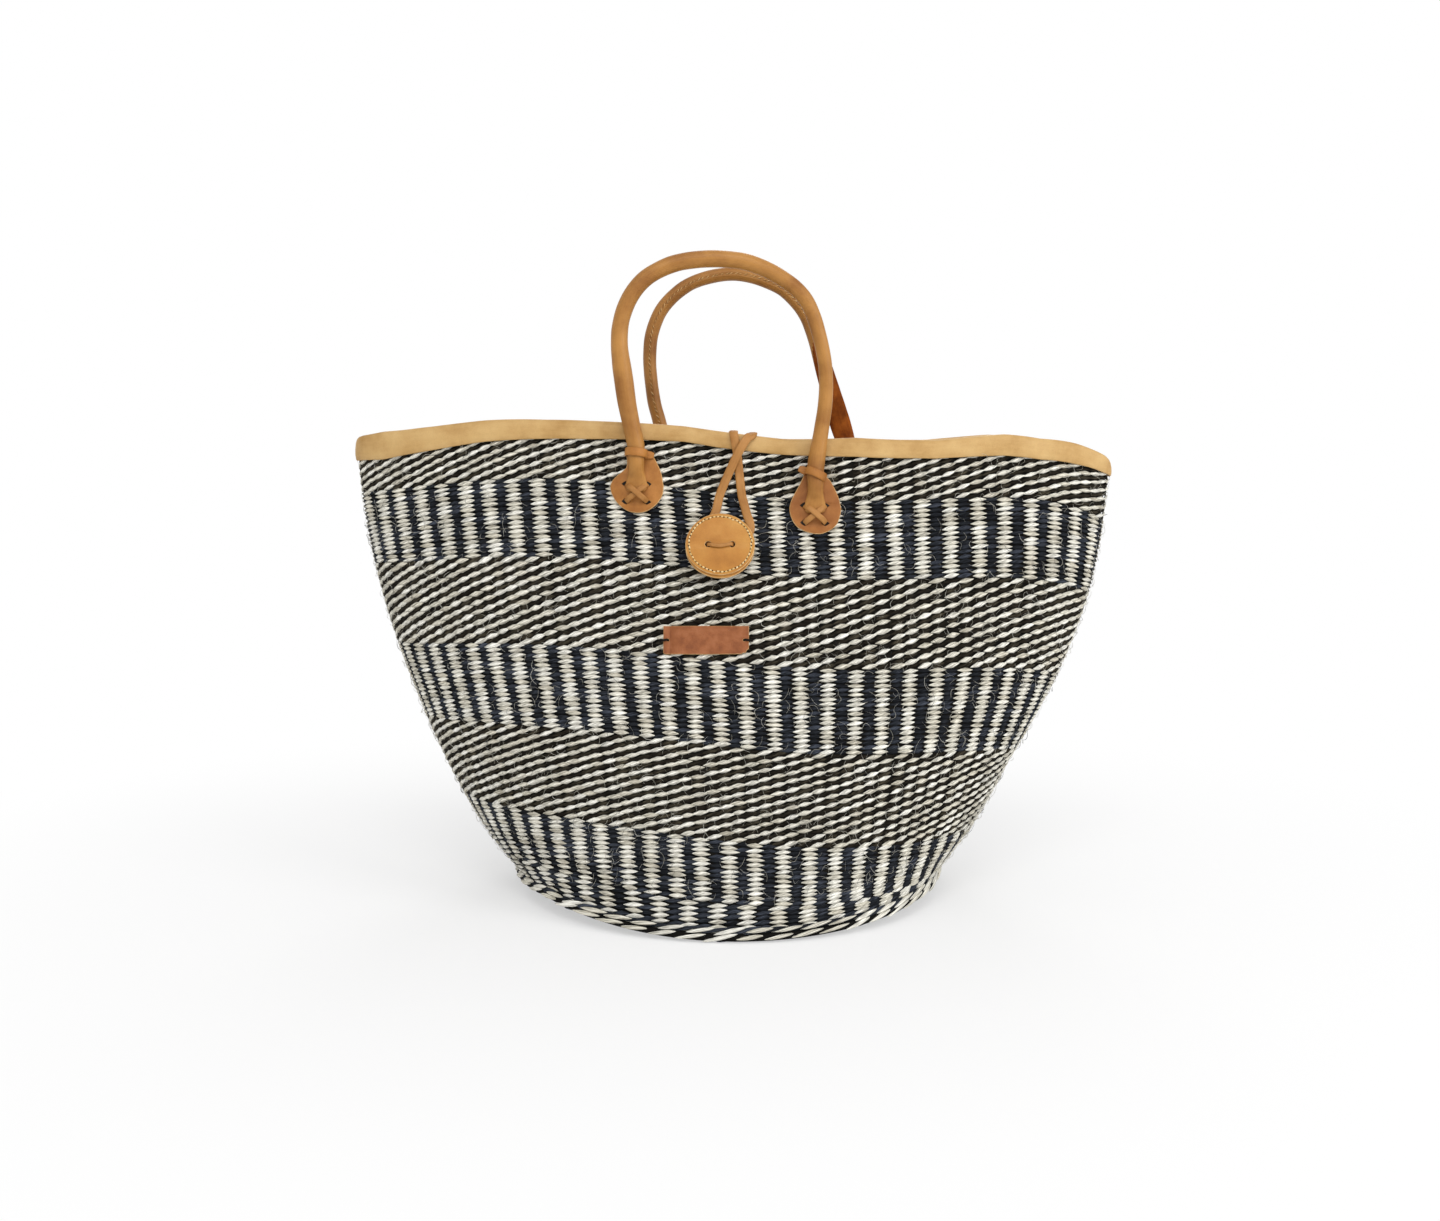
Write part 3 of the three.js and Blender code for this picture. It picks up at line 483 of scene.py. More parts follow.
def spaced(share, rise):
    """Warps stand closer at both ends and left of the middle, and lean left on their way up."""
    even = np.linspace(-0.5, 0.5, SPACING_SAMPLES)
    sideways = np.sin(2 * math.pi * even)
    gap = 1 + SKEW * sideways - CROWDING * np.cos(4 * math.pi * (even + CROWDING_SHIFT))
    gap -= np.interp(rise, SQUEEZE_AT, SQUEEZE) * sideways ** SQUEEZE_POWER
    place = np.concatenate([[0], np.cumsum(gap[1:] + gap[:-1])])
    place = np.interp(np.mod(share + 0.5, 1) - 0.5, even, place / place[-1])
    return place - 0.5 - TWIST * rise ** 1.5


def tilted(rise, share):
    """Rows lie a little lower on the right than on the left, but not at the foot or the rim."""
    fade = np.minimum(1, rise / 0.1) * (1 - rise)
    return rise - ROW_TILT * fade * np.sin(2 * math.pi * share)


def woven_point(share, rise, out=0.0, up=0.0):
    """Points in a row of the weave, by their share of the way round."""
    return wall_point(angle_round(share, rise), tilted(rise, share) + up, out)


def woven_rows():
    """Every row from the foot up: its pattern, warps, rise, height and colour shift."""
    shift = 1
    for pattern, warps, count, low, high in BANDS:
        height = (high - low) / count
        for k in range(count):
            if pattern == SLANTS or k == 0:
                shift += 1
            yield pattern, warps, low + (high - low) * (k + 0.5) / count, height, shift


rows = list(woven_rows())
print(len(rows), "rows and about", sum(row[1] for row in rows), "stitches in the wall")


# %% Stitch places
# A stitch's way is measured this far to both sides of it, in warps.
PROBE = 0.2


def stitches(**values):
    """A lot of stitches, with one entry per stitch. What all of them share is repeated."""
    count = len(values["point"])
    return {key: np.broadcast_to(value, (count, 3) if key in ("point", "way", "out") else count)
            for key, value in values.items()}


def gathered(lots):
    """Several lots of stitches as one."""
    return {key: np.concatenate([lot[key] for lot in lots]) for key in lots[0]}


def only(lot, wanted):
    """Some stitches of a lot."""
    return {key: values[wanted] for key, values in lot.items()}


def row_stitches(pattern, warps, rise, height, shift, wander):
    """The stitches of one row of the wall: their places, ways, sizes, lean and colours."""
    columns = np.arange(warps)
    share = spaced((columns + 0.5 + wander(rise)) / warps, rise)
    near = PROBE / warps
    here, above = woven_point(share, rise), woven_point(share, rise, up=height)
    across = woven_point(share + near, rise) - woven_point(share - near, rise)
    return stitches(
        point=here, way=unit(across), out=unit(np.cross(across, above - here)),
        pitch=np.linalg.norm(across, axis=1) / (2 * near * warps),
        height=np.linalg.norm(above - here, axis=1), lean=LEAN[pattern], rise=rise,
        natural=(columns + shift) % 2 == 0)


wanders = {warps: warp_wander(warps) for _, warps, *_ in BANDS}
places = gathered([row_stitches(*row, wanders[row[1]]) for row in rows])
print("mean stitch pitch", round(float(places["pitch"].mean()), 2), "mm, row",
      round(float(places["height"].mean()), 2), "mm")

# %% [markdown]
# A stitch is a short spindle: thick in the middle where it passes over a warp, pointed at
# both ends where it dives between two warps. Geometry Nodes make one spindle and set it on
# every stitch place, turned to the row and leaning a little, with small random differences.
# Each piece of yarn remembers how far along and around it a point lies, which the sisal
# material reads.

# %% The spindle of one stitch
YARN_INPUTS = {
    "Places": "Geometry", "Steps": "Int", "Sides": "Int", "Tip": "Float", "Dip": "Float",
    "Bow": "Float", "Belly": "Float", "Lean spread": "Float", "Thick": "Float", "Seed": "Int",
    "Yarn": "Material",
}


def yarn_tree():
    """Sets a spindle on every point, turned to its row and scaled to its stitch."""
    tree = bpy.data.node_groups.new("twined_stitch", "GeometryNodeTree")
    for label, kind in YARN_INPUTS.items():
        tree.interface.new_socket(label, in_out="INPUT", socket_type="NodeSocket" + kind)
    tree.interface.new_socket("Mesh", in_out="OUTPUT", socket_type="NodeSocketGeometry")
    given = add_node(tree, "NodeGroupInput").outputs

    def add(kind, inputs=(), **settings):
        return add_node(tree, kind, inputs, **settings)

    def marked(geometry, label, value, **settings):
        return add("GeometryNodeStoreNamedAttribute", {
            "Geometry": geometry, "Name": label, "Value": value}, data_type="FLOAT", **settings)

    def told(label, kind="FLOAT_VECTOR"):
        return add("GeometryNodeInputNamedAttribute", {"Name": label}, data_type=kind)

    line = add("GeometryNodeCurvePrimitiveLine", {"Start": (-0.5, 0, 0), "End": (0.5, 0, 0)})
    spine = add("GeometryNodeResampleCurve", {"Curve": line, "Count": given["Steps"]})
    part = add("GeometryNodeSplineParameter")
    arch = calc(tree, "SINE", calc(tree, "MULTIPLY", part, math.pi))
    full = calc(tree, "POWER", calc(tree, "MAXIMUM", arch, 0.0), given["Belly"])
    lift = add("ShaderNodeCombineXYZ", {
        "Y": calc(tree, "MULTIPLY", full, given["Bow"]),
        "Z": calc(tree, "MULTIPLY", full, given["Dip"])})
    bowed = add("GeometryNodeSetPosition", {"Geometry": spine, "Offset": lift})
    circle = add("GeometryNodeCurvePrimitiveCircle", {
        "Resolution": given["Sides"], "Radius": given["Thick"]})
    spindle = add("GeometryNodeCurveToMesh", {
        "Curve": marked(bowed, "along", part), "Profile Curve": marked(circle, "around", part),
        "Scale": remap(tree, full, 0, 1, given["Tip"], 1), "Fill Caps": True})

    facing = add("FunctionNodeAxesToRotation", {0: told("row_way"), 1: told("wall_out")},
                 primary_axis="X", secondary_axis="Z")
    unrest = add("FunctionNodeRandomValue", {2: -1.0, 3: 1.0, "Seed": given["Seed"]},
                 data_type="FLOAT").outputs[1]
    sway = calc(tree, "MULTIPLY_ADD", unrest, given["Lean spread"], told("lean", "FLOAT"))
    tilt = add("FunctionNodeAxisAngleToRotation", {"Axis": (0, 0, 1), "Angle": sway})
    turned = add("FunctionNodeRotateRotation", {0: facing, 1: tilt}, rotation_space="LOCAL")
    set_out = add("GeometryNodeInstanceOnPoints", {
        "Points": given["Places"], "Instance": spindle, "Rotation": turned, "Scale": told("size")})
    shade = add("FunctionNodeRandomValue", {"Seed": given["Seed"]}, data_type="FLOAT").outputs[1]
    toned = marked(set_out, "tone", shade, domain="INSTANCE")
    real = add("GeometryNodeRealizeInstances", {"Geometry": toned})
    dyed = add("GeometryNodeSetMaterial", {"Geometry": real, "Material": given["Yarn"]})
    add("NodeGroupOutput", {"Mesh": dyed})
    return tree


stitch_tree = yarn_tree()

# %% [markdown]
# A yarn is listed as its length, height and depth over the stitch's place, how deep it is
# sunk into the wall, and how much its sizes spread.

# %% Twine the wall
NATURAL_YARN = (1.31, 1.15, 2.2, 1.0, 0.06)
BLACK_YARN = (1.3, 1.16, 2.4, 1.75, 0.06)
FULLER_SLANTS = {"natural": 1.02, "black": 1.08}
SPINDLE = {"Steps": 5, "Sides": 6, "Tip": 0.12, "Dip": 0.16, "Bow": 0.0, "Belly": 1.5,
           "Lean spread": 0.08, "Thick": 0.5}
PARTS_OF_WALL = {
    "stripes_low": (0.0, 0.172), "slants_low": (0.172, 0.352), "stripes_middle": (0.352, 0.523),
    "slants_middle": (0.523, 0.706), "stripes_high": (0.706, 0.872), "slants_high": (0.872, 0.974),
}
UNEVEN = 0.16


def grow(name, points, attributes, values):
    """Runs the yarn's tree on loose points, in millimetres, and keeps a plain mesh."""
    source = bpy.data.meshes.new(name)
    source.from_pydata(np.asarray(points, float) * MM, [], [])
    for label, data in attributes.items():
        kind, slot = ("FLOAT_VECTOR", "vector") if data.ndim == 2 else ("FLOAT", "value")
        source.attributes.new(label, kind, "POINT").data.foreach_set(slot, data.ravel())
    holder = add_object(name + "_source", source)
    modifier = holder.modifiers.new("grow", "NODES")
    modifier.node_group = stitch_tree
    for item in stitch_tree.interface.items_tree:
        if item.in_out == "INPUT" and item.name in values:
            modifier[item.identifier] = values[item.name]
    bpy.context.view_layer.update()
    graph = bpy.context.evaluated_depsgraph_get()
    mesh = bpy.data.meshes.new_from_object(holder.evaluated_get(graph),
                                           preserve_all_data_layers=True, depsgraph=graph)
    bpy.data.objects.remove(holder)
    mesh.name = name
    return add_object(name, mesh)


def twine(name, lot, yarn, dye, seed, shape=SPINDLE):
    """A piece of weave of one colour: a spindle on every place that it is given."""
    length, height, depth, sunk, spread = yarn
    chance = np.random.default_rng(seed)
    count = len(lot["point"])
    points = lot["point"] - lot["out"] * sunk
    points = points + np.cross(lot["out"], lot["way"]) * chance.normal(0, UNEVEN, (count, 1))
    size = np.stack([lot["pitch"] * length, lot["height"] * height, np.full(count, depth)], 1)
    size *= 1 + chance.normal(0, spread, (count, 3))
    told = {"row_way": lot["way"], "wall_out": lot["out"], "size": size * MM, "lean": lot["lean"]}
    return grow(name, points, told, {**shape, "Seed": seed, "Yarn": dye})


def finish_piece(piece, body, slot, *nodes):
    """Says which body carries a piece and which solids it stands for. slot is not used."""
    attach(piece, body)
    if nodes:
        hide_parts(*nodes)


for label, (low, high) in PARTS_OF_WALL.items():
    here = (places["rise"] > low) & (places["rise"] < high)
    slanted = label.startswith("slants")
    for colour, yarn, dye in (("natural", NATURAL_YARN, natural_sisal),
                              ("black", BLACK_YARN, brown_sisal if slanted else navy_sisal)):
        chosen = only(places, here & (places["natural"] == (colour == "natural")))
        if slanted:
            chosen["height"] = chosen["height"] * FULLER_SLANTS[colour]
        piece = twine(f"{colour}_stitches_{label}", chosen, yarn, dye, seed=len(chosen["point"]))
        finish_piece(piece, "basket", "woven_sisal")
        print(piece.name, len(chosen["point"]), "stitches", len(piece.data.polygons), "faces")

# %% [markdown]
# Behind the outer stitches lie the warps, painted near black as shade, and then the inner face of
# the same weave, where each stitch shows in the other colour. Nobody looks at it closely, so it is
# one quilted skin rather than thousands of spindles. It makes the wall a closed shell.

# %% The wall behind the stitches
SHELL_OUT = -1.8
SHELL_ROWS = 24
INNER_VALLEY = -3.1
INNER_CREST = -4.1
COLUMN_STEPS = 3
RELIEF_BETWEEN = 0.2

shell_rows = [row for row in rows if row[2] < WALL_TOP]


def inner_rings():
    """Rows of points on the inner face: a valley between two rows, and a crest on each row."""
    steps = np.arange(WARPS * COLUMN_STEPS)
    share = steps / len(steps)
    crest = (INNER_CREST - INNER_VALLEY) * np.where(steps % COLUMN_STEPS == 0, RELIEF_BETWEEN, 1.0)
    heights = []
    for _, _, rise, height, _ in shell_rows:
        heights += [(rise - height / 2, 0), (rise, crest)]
    return np.array([woven_point(spaced(share, rise), rise, INNER_VALLEY + relief)
                     for rise, relief in heights + [(WALL_TOP, 0)]])


def wall_shell():
    """The inner face, and a plain outer face and two strips that close the shell, painted dark as
    shade.
    """
    inner = inner_rings()
    columns = inner.shape[1]
    outer = [woven_point(spaced(np.arange(WARPS) / WARPS, rise), rise, SHELL_OUT)
             for rise in np.linspace(0, WALL_TOP, SHELL_ROWS)]
    faces = grid_faces(len(inner), columns)
    natural = [(k // COLUMN_STEPS + shift) % 2 == 1
               for *_, shift in shell_rows for _ in range(2) for k in range(columns)]
    first = len(inner) * columns
    faces += [tuple(first + corner for corner in face) for face in grid_faces(SHELL_ROWS, WARPS)]
    for low, high in ((0, first), (first - columns, first + (SHELL_ROWS - 1) * WARPS)):
        for k in range(WARPS):
            inside = [low + (COLUMN_STEPS * k + j) % columns for j in range(COLUMN_STEPS + 1)]
            faces.append((high + k, *inside, high + (k + 1) % WARPS))
    shell = mesh_object("wall_shell", np.concatenate([*inner, *outer]), faces)
    for dye in (natural_sisal, navy_sisal, painted_shade_sisal):
        shell.data.materials.append(dye)
    # Index 2, for the outer face and the strips, is the painted shade.
    kinds = np.full(len(faces), 2)
    kinds[:len(natural)] = np.where(natural, 0, 1)
    shell.data.polygons.foreach_set("material_index", kinds)
    tone = shell.data.attributes.new("tone", "FLOAT", "FACE")
    tone.data.foreach_set("value", np.random.default_rng(7).random(len(faces)))
    return shell


shell = wall_shell()
finish_piece(shell, "basket", "woven_sisal", "basket_wall")
print("wall shell", len(shell.data.polygons), "faces")

# %% [markdown]
# The bottom is a flat round mat. Its rows run round in rings, and warps are added as the rings
# grow. It is seen from below and from inside, so both faces get their stitches, on a plain
# disc painted dark as shade, which closes the gaps and curls up with them.

# %% The mat at the bottom
MAT_ROW = 3.3
MAT_WARPS = ((14, 12), (32, 24), (66, 48), (BASE_RADIUS, FOOT_WARPS))
MAT_LEAN = math.radians(8)
MAT_YARN = (1.3, 1.1, 2.4, 1.62, 0.06)
MAT_SPINDLE = {**SPINDLE, "Steps": 4, "Sides": 5}
ROUND_STEPS = 120
BACKING_RADII = np.linspace(6, 141, 28)
BACKING_EDGE = 143.2
BACKING_FACES = (1.3, 3.2)


def mat_stitches(face):
    """Stitches in rings. face is 1 for the side that looks up and -1 for the side below."""
    lots = []
    for number, radius in enumerate(np.arange(MAT_ROW, BASE_RADIUS - 1, MAT_ROW)):
        warps = next(count for reach, count in MAT_WARPS if radius <= reach)
        turn = turns(warps, 0.5)
        lots.append(stitches(
            point=settled(ring(turn, radius, radius, BASE_THICKNESS if face > 0 else 0)),
            way=ring(turn + math.pi / 2, 1, 1), out=(0, 0, face), height=MAT_ROW, lean=MAT_LEAN,
            pitch=2 * math.pi * radius / warps,
            natural=(np.arange(warps) + number // 3) % 2 == 0))
    return gathered(lots)


def mat_backing():
    """A disc painted dark as shade, turned round the upright axis from its lower face to its upper
    one.
    """
    low, high = BACKING_FACES
    profile = [(r, low) for r in BACKING_RADII] + [(BACKING_EDGE, 2), (BACKING_EDGE, 3)]
    profile += [(r, high) for r in BACKING_RADII[::-1]]
    rings = [ring(turns(ROUND_STEPS), r, r, z) for r, z in profile]
    faces = grid_faces(len(rings), ROUND_STEPS)
    for first in (0, (len(rings) - 1) * ROUND_STEPS):
        faces.append(tuple(range(first, first + ROUND_STEPS)))
    return mesh_object("mat_backing", settled(np.concatenate(rings)), faces, painted_shade_sisal)


mat_places = gathered([mat_stitches(1), mat_stitches(-1)])
for colour, dye in (("natural", natural_sisal), ("black", navy_sisal)):
    chosen = only(mat_places, mat_places["natural"] == (colour == "natural"))
    piece = twine(f"{colour}_stitches_mat", chosen, MAT_YARN, dye, seed=31, shape=MAT_SPINDLE)
    finish_piece(piece, "basket", "woven_sisal")
finish_piece(mat_backing(), "basket", "woven_sisal", "basket_base")
print("mat", len(mat_places["point"]), "stitches")

# %% [markdown]
# Where the bottom turns into the wall, thick yarn is twined with a long pitch, and makes the
# ridge that the bag stands on. Each natural strand shows as a dash about 18 mm long that rises
# to the right. A thinner row lies on top of it. A row is listed as its name, its height, the
# length, height and depth of its stitches, and its shift.

# %% The ridge at the foot
RIDGE_TWISTS = 50
RIDGE_RADIUS = 146.4
RIDGE_LEAN = math.radians(9)
RIDGE_ROWS = (("cord", 3.6, 20.0, 2.9, 3.2, 0.0), ("trim", 8.0, 18.5, 2.7, 2.8, 0.35))
RIDGE_SPINDLE = {**SPINDLE, "Steps": 9, "Sides": 10, "Tip": 0.12, "Belly": 0.8, "Dip": 0.1}
CORE_RADIUS = 145.6
CORE_HEIGHT = 3.4
CORE_HALVES = (2.0, 2.6)
CORE_SIDES = 12


def on_ridge(turn, height):
    return settled(ring(turn, RIDGE_RADIUS, RIDGE_RADIUS, height))


def ridge_core():
    """The core under the strands, painted dark as shade: an upright ellipse, taken once round the
    foot.
    """
    section = ring(turns(CORE_SIDES), *CORE_HALVES)
    reach, level = CORE_RADIUS + section[:, 0], CORE_HEIGHT + section[:, 1]
    points = np.concatenate([ring(turn, reach, reach, level) for turn in turns(ROUND_STEPS)])
    faces = grid_faces(ROUND_STEPS, len(section), close_rows=True)
    return mesh_object("ridge_core", settled(points), faces, painted_shade_sisal)


for colour, dye, part, sunk in (("natural", natural_sisal, 0.0, 0.0),
                                ("black", navy_sisal, 0.5, 1.1)):
    for label, height, length, tall, deep, shift in RIDGE_ROWS:
        turn = turns(RIDGE_TWISTS, shift + part)
        strands = stitches(
            point=on_ridge(turn, height), out=ring(turn, 1, 1), pitch=length, height=tall,
            way=unit(on_ridge(turn + 0.01, height) - on_ridge(turn - 0.01, height)),
            lean=RIDGE_LEAN)
        piece = twine(f"{colour}_ridge_{label}", strands, (1.0, 1.0, deep, sunk, 0.09), dye, seed=5,
                      shape=RIDGE_SPINDLE)
        finish_piece(piece, "basket", "woven_sisal")
finish_piece(ridge_core(), "basket", "woven_sisal", "base_ridge")
print("ridge of", RIDGE_TWISTS, "twists")

# %% [markdown]
# All the leather is vegetable-tanned cowhide, a warm tan that darkens with handling. What gives
# it away is a cloudy change of tone over a few centimetres, fine pores, and a satin surface that
# shines a little more where it is rubbed. Strips also have fine marks along their length.

# %% Leather
PORE = 0.9 * MM
GRAIN = 2.16 * MM
MARK_STRETCH = (0.9, 0.035, 1.0)
RUBBED = 0.07
CLOUD_RANGE = (0.3, 0.7)
MARK_RANGE = (0.2, 0.8)
SPECKLE = (0.93, 1.03)
GRAIN_HEIGHT = 1.5
MARK_HEIGHT = 8


def leather(name, tones, roughness, cloud=16.0, relief=0.06, streaks=0.0, gloss=0.35):
    """Tanned hide. cloud is in millimetres, and streaks is the strength of the marks along it."""
    material, tree = new_material(name)
    where = add_node(tree, "ShaderNodeTexCoord").outputs
    clouds = noise_node(tree, where["Object"], 1 / (cloud * MM), 4.0, 0.55)
    grain = noise_node(tree, where["Object"], 1 / GRAIN, 3.0)
    pores = add_node(tree, "ShaderNodeTexVoronoi", {"Vector": where["Object"], "Scale": 1 / PORE})
    stretched = add_node(tree, "ShaderNodeMapping", {"Vector": where["UV"], "Scale": MARK_STRETCH})
    marks = noise_node(tree, stretched, 1.0, 3.0, 0.6)
    tone = calc(tree, "ADD", clouds, remap(tree, marks, *MARK_RANGE, -streaks, streaks))
    speckle = remap(tree, pores, 0, 0.5, *SPECKLE)
    worn = remap(tree, clouds, *CLOUD_RANGE, roughness + RUBBED, roughness - RUBBED)
    rough = calc(tree, "MULTIPLY_ADD", grain, GRAIN_HEIGHT, pores)
    height = calc(tree, "MULTIPLY_ADD", marks, MARK_HEIGHT * streaks, rough)
    surface(tree, three_tones(tree, tone, tones, 0.28, 0.74), speckle, height, relief, worn, gloss)
    return material


# The palest strip, almost straw, with a soft satin sheen.
rim_leather = leather("leather_pale_folded_strip", ("ac844b", "c19b62", "cfac73"), 0.58, cloud=22,
                      streaks=0.06)
# Warm tan that shines along the top of the arch.
handle_leather = leather("leather_rolled_tan", ("8b5822", "aa7637", "bd8743"), 0.48, cloud=30,
                         streaks=0.05)
# The same hide, made darker for the rear handle: painted shade.
rear_shade_leather = leather("leather_rolled_tan_painted_shade", ("7d4c1b", "9b682d", "af7a3a"), 0.48, cloud=30,
                       streaks=0.08)
# Small cut shapes with livelier clouds.
patch_leather = leather("leather_tan_patch", ("8a531e", "a2692b", "b67a39"), 0.55, cloud=12)
# A darker copy of the patch leather for the right-hand patches: painted shade.
painted_shade_patch_leather = leather("leather_tan_patch_painted_shade", ("80491b", "965d27", "ab6f33"), 0.55, cloud=12)
# The golden eye-catcher in the middle of the front.
button_leather = leather("leather_golden_button", ("a16825", "b3782d", "c08a3b"), 0.5, cloud=18)
# A little duller, marked along its length by the knife.
lace_leather = leather("leather_cut_lace", ("8c5924", "a47138", "b48046"), 0.6, cloud=18,
                       streaks=0.1)
# Reddish brown, dull and grainy.
label_leather = leather("leather_brown_tab", ("7a4323", "8f532c", "9f623b"), 0.65, cloud=7,
                        relief=0.12)
# The rough inner side of the hide, deep and matt.
flesh_leather = leather("leather_flesh_side", ("5a2606", "7c3d09", "974f12"), 0.8, cloud=9,
                        relief=0.12, streaks=0.1, gloss=0.15)
# A fresh cut, which draws a pale line round each shape.
edge_leather = leather("leather_cut_edge", ("bd9057", "d3aa72", "e6c795"), 0.75, cloud=4,
                       relief=0.1)
# Waxed threads, which read as fine smooth dashes.
cream_thread = sisal("thread_waxed_cream", ("c4a365", "e6cc90", "f4e3b8"), 0.08, 0.05)
tan_thread = sisal("thread_waxed_tan", ("a67c48", "c29963", "d9b885"), 0.08, 0.05)
# Dark thread for the tab's ties, and also dark discs of painted shade in the lace and awl holes.
dark_thread_and_hole_shade = sisal("thread_waxed_dark_and_hole_shade", ("12100e", "231f1b", "3a342e"), 0.15, 0.05)
print("leathers and threads ready")


# %% [markdown]
# Strips of leather are drawn along smooth curves. A curve may carry more than its place: the
# way that the strip's face looks, and its width and thickness, so one strip can be round where
# a rope fills it and flat where it is laced down. Small parts are laid out on a frame, which
# holds its origin on the wall and its level, upward and outward ways.

# %% Strips along a curve
def smooth_path(stops, count, closed=False):
    """An even row of points on a smooth curve through the stops. Extra columns come along."""
    stops = np.asarray(stops, float)
    if closed:
        return smooth_path([*stops, stops[0]], count)[:-1]
    steps = np.sqrt(np.linalg.norm(np.diff(stops[:, :3], axis=0), axis=1))
    knots = np.concatenate([[0], np.cumsum(steps)])
    slopes = np.gradient(stops, knots, axis=0)
    fine = np.linspace(0, knots[-1], count * 8)
    k = np.clip(np.searchsorted(knots, fine, side="right") - 1, 0, len(stops) - 2)
    span = (knots[k + 1] - knots[k])[:, None]
    t = (fine - knots[k])[:, None] / span
    curve = (stops[k] * (1 + 2 * t) + slopes[k] * span * t) * (1 - t) ** 2
    curve = curve + (stops[k + 1] * (3 - 2 * t) + slopes[k + 1] * span * (t - 1)) * t * t
    gone = distances(curve[:, :3])
    even = np.linspace(0, gone[-1], count)
    return np.stack([np.interp(even, gone, column) for column in curve.T], 1)


def distances(points):
    """How far along a row each of its points lies."""
    return np.concatenate([[0], np.cumsum(np.linalg.norm(np.diff(points, axis=0), axis=1))])


def from_frame(frame, points):
    """Points given as (level, upward, outward) on a frame, in the bag's own place."""
    return frame[0] + np.asarray(points, float) @ frame[1:]


def strip_section(width, thickness, sides=12, square=3.2):
    """A flat section with rounded edges, as (across, outward) pairs."""
    section = ring(turns(sides, 0.5), 1, 1)[:, :2]
    return np.sign(section) * np.abs(section) ** (2 / square) * (width / 2, thickness / 2)


def sweep(name, path, facing, sections, material, on=None, closed=False):
    """A solid strip along a path. facing is the way that its upper face looks at each point.

    Both are read on a frame where one is given."""
    path = np.asarray(path, float)[:, :3]
    facing = np.broadcast_to(np.asarray(facing, float), path.shape)
    if on is not None:
        path, facing = from_frame(on, path), facing @ on[1:]
    sections = np.broadcast_to(sections, (len(path),) + np.shape(sections)[-2:])
    ahead = np.gradient(path, axis=0)
    if closed:
        ahead = np.roll(path, -1, axis=0) - np.roll(path, 1, axis=0)
    across = unit(np.cross(ahead, facing))
    upward = np.cross(across, unit(ahead))
    rings = across[:, None] * sections[..., :1] + upward[:, None] * sections[..., 1:]
    rings = path[:, None] + rings
    count, sides = sections.shape[:2]
    faces = grid_faces(count, sides, close_rows=closed)
    gone = distances(path)
    loop = sections.mean(axis=0)
    wide = distances([*loop, loop[0]])
    uv = grid_uv(wide, [*gone, gone[-1] + gone[1]] if closed else gone)
    if not closed:
        for first, at in ((0, gone[0]), ((count - 1) * sides, gone[-1])):
            faces.append(tuple(range(first, first + sides)))
            uv += [(wide[k], at) for k in range(sides)]
    return mesh_object(name, rings.reshape(-1, 3), faces, material, uv)


# %% [markdown]
# The rim is bound with a pale strip folded over the woven edge. It is not sewn in sight. It
# swells a little over the fold, and its lower edge wavers, because soft leather was pulled
# round by hand. The strip's two ends overlap near the right end of the front. Its section is
# listed as (out, up) from the woven edge, and its lifts belong to spots from left to right.

# %% The rim binding
BINDING_DEPTH = 10.6
BINDING_STATIONS = 300
LAP_ANGLES = (-0.59, -0.49)
LAP = 0.9
BINDING_SECTION = (
    (0.45, -11.0), (0.7, -11.9), (1.3, -12.1), (1.8, -11.6), (2.1, -9.6), (2.25, -7.0), (2.2, -4.2),
    (1.8, -2.6), (0.8, -1.6), (-0.7, -1.25), (-2.4, -1.2), (-3.9, -1.4), (-5.3, -2.1), (-6.1, -3.6),
    (-6.25, -6), (-6.15, -9), (-5.95, -11.4), (-5.4, -12.1), (-4.8, -11.9), (-4.35, -11.0),
    (-4.3, -6), (-4.1, -3.2), (-2, -2.9), (0.1, -3.2), (0.35, -6),
)
OUTER_FACE = 0.6
INNER_FACE = -4.7
END_SLOPE = 3.2
END_NARROWNESS = 5
SWELL_UP, SWELL_OUT = 0.2, 0.22
SWAY_UP, SWAY_OUT = 0.4, 0.2
OUTER_POINT = 5
RIM_SPOTS = (-258, -236, -200, -165, -125, -95, -32, -10, 33, 80, 110, 135, 160, 181, 205, 230, 258)
TOP_LIFT = (1.2, 2.4, 1.0, 1.3, 0.0, 0.0, 1.8, 1.0, -0.4, 2.2, 0.2, -1.0, 0.3, 1.8, 0.8, 3.0, 4.2)
EDGE_LIFT = (-3.8, -5.2, -3.4, -1.9, -1.6, -1.0, 2.4, 1.0, 0.0, 0.6, -0.9, -2.4, -2.0, -1.5, -2.6,
             -0.6, 3.4)


def uneven_ring(count, harmonics, seed):
    """A smooth closed row of small random numbers, about -1 to 1."""
    chance = np.random.default_rng(seed)
    turn = turns(count)
    total = sum(chance.normal(0, 1 / k ** 0.5) * np.cos(k * turn + chance.uniform(0, 6.3))
                for k in range(2, harmonics))
    return total / np.abs(total).max()


